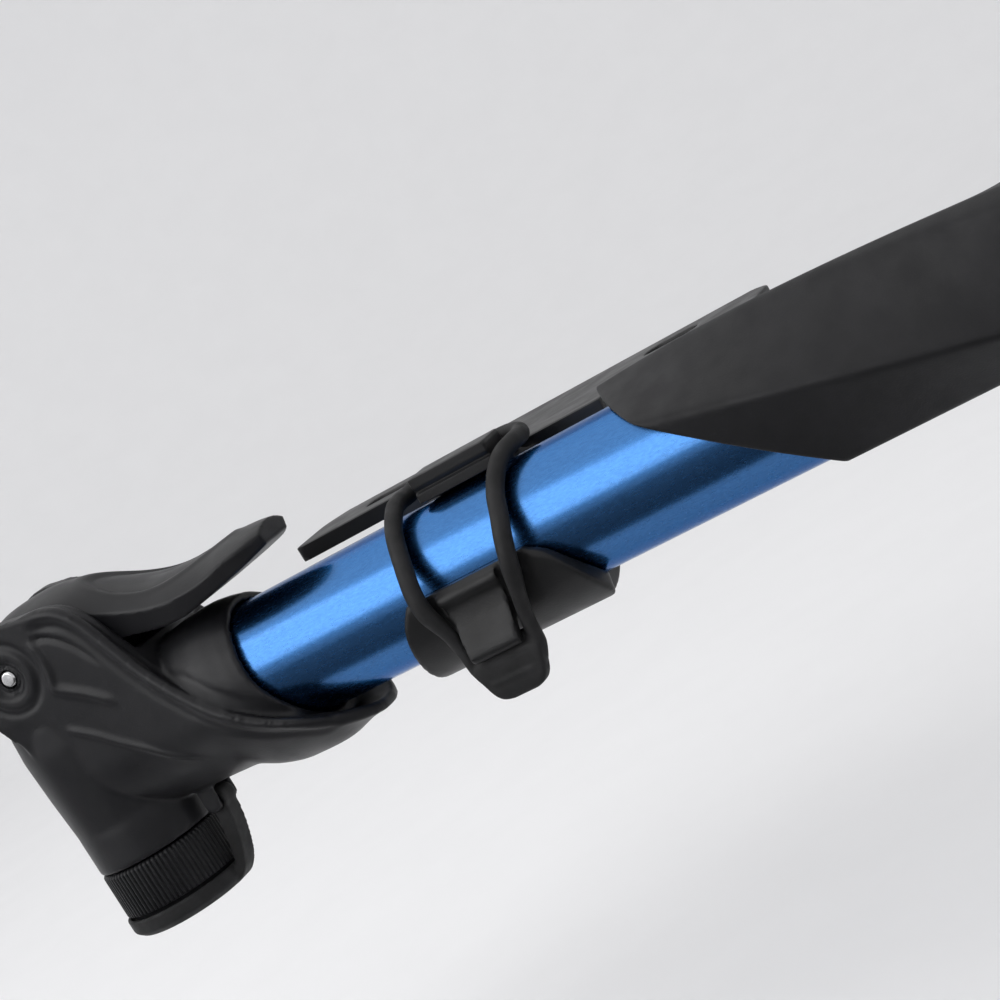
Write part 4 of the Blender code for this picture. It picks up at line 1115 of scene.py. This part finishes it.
# The stage is in metres, in the row frame.
FLOOR_Z, FLOOR_R, FLOOR_BEND_R, WALL_HEIGHT = -0.10, 0.9, 0.5, 1.3
CARD_X, CARD_Y, CARD_LIFT = (-0.75, 0.3), (-0.95, -0.09), 0.004
AIM = Vector((-0.02, -0.03, 0))
# Each softbox: its direction from the aim, its distance, its two sides and its radiance.
SOFTBOXES = {
    "key": ((-0.45, -0.625, 0.41), 0.85, (0.75, 0.62), 2.6),
    "overhead": ((-0.25, 0.05, 1.0), 1.0, (1.5, 1.5), 0.6),
}
WORLD_STRENGTH = 0.75
LENS_MM, SENSOR_MM = 88.2, 36.0
CAMERA_PLACE = (0.191355, -0.398959, 0.043143)
CAMERA_RIGHT, CAMERA_UP = Vector((0.788, 0.3379, -0.5146)), Vector((0.4167, 0.3224, 0.8499))
CAMERA_BACK = Vector((0.4531, -0.8842, 0.1133))


def make_floor():
    """A pale floor which curves up into a wall all round."""
    bends = np.radians(np.linspace(5, 90, 18))
    profile = [(0, 0), (FLOOR_R, 0)]
    profile += [(FLOOR_R + FLOOR_BEND_R * math.sin(a), FLOOR_BEND_R * (1 - math.cos(a))) for a in bends]
    profile.append((FLOOR_R + FLOOR_BEND_R, WALL_HEIGHT))
    mesh = as_mesh(turned(profile, 96), "floor")
    mesh.shade_smooth()
    paper = Finish("pale_paper", (0.805, 0.805, 0.815), 0.9)
    paper.mottle(paper.noise(25), (0.815, 0.815, 0.825))
    mesh.materials.append(paper.material)
    floor = placed("floor", mesh)
    floor.location = (0, 0, FLOOR_Z)


def make_softbox(name, direction, distance, size, radiance):
    """An even area light of the given radiance, which faces the object."""
    light = bpy.data.lights.new(name, "AREA")
    light.shape = "RECTANGLE"
    light.size, light.size_y = size
    light.energy = radiance * math.pi * size[0] * size[1]
    obj = placed(name, light)
    away = Vector(direction).normalized()
    obj.location = AIM + away * distance
    obj.rotation_euler = away.to_track_quat("Z", "Y").to_euler()
    obj.visible_camera = False


def make_dark_card():
    """A black card in front of the object, which only its reflections see: it deepens the barrel."""
    (low_x, high_x), (low_y, high_y), z = CARD_X, CARD_Y, FLOOR_Z + CARD_LIFT
    mesh = bpy.data.meshes.new("dark_card")
    corners = [(low_x, low_y, z), (high_x, low_y, z), (high_x, high_y, z), (low_x, high_y, z)]
    mesh.from_pydata(corners, [], [(0, 1, 2, 3)])
    card = Finish("black_card", (0.02, 0.02, 0.02), 0.9)
    card.mottle(card.noise(40), (0.03, 0.03, 0.03))
    mesh.materials.append(card.material)
    obj = placed("dark_card", mesh)
    obj.visible_camera = obj.visible_diffuse = obj.visible_shadow = obj.visible_transmission = False


def make_studio():
    make_floor()
    for name, values in SOFTBOXES.items():
        make_softbox(name, *values)
    make_dark_card()
    world = bpy.data.worlds.new("studio")
    world.use_nodes = True
    background = world.node_tree.nodes["Background"]
    background.inputs["Color"].default_value = (1, 1, 1, 1)
    background.inputs["Strength"].default_value = WORLD_STRENGTH
    bpy.context.scene.world = world
    bpy.context.scene.view_settings.view_transform = "Standard"


def make_camera():
    camera = bpy.data.cameras.new("camera")
    camera.lens, camera.sensor_width = LENS_MM, SENSOR_MM
    obj = placed("camera", camera)
    turn = Matrix((CAMERA_RIGHT, CAMERA_UP, CAMERA_BACK)).transposed().to_4x4()
    obj.matrix_world = Matrix.Translation(CAMERA_PLACE) @ turn
    bpy.context.scene.camera = obj


make_camera()
make_studio()
dress_cad_nodes()
make_barrel()
make_head()
make_pin()
make_lever()
make_collar()
make_dust_cap()
make_grommet()
make_check_spring()
make_bracket()
make_strap()
make_handle()
make_end_cap()
make_rod()
make_rod_guide()
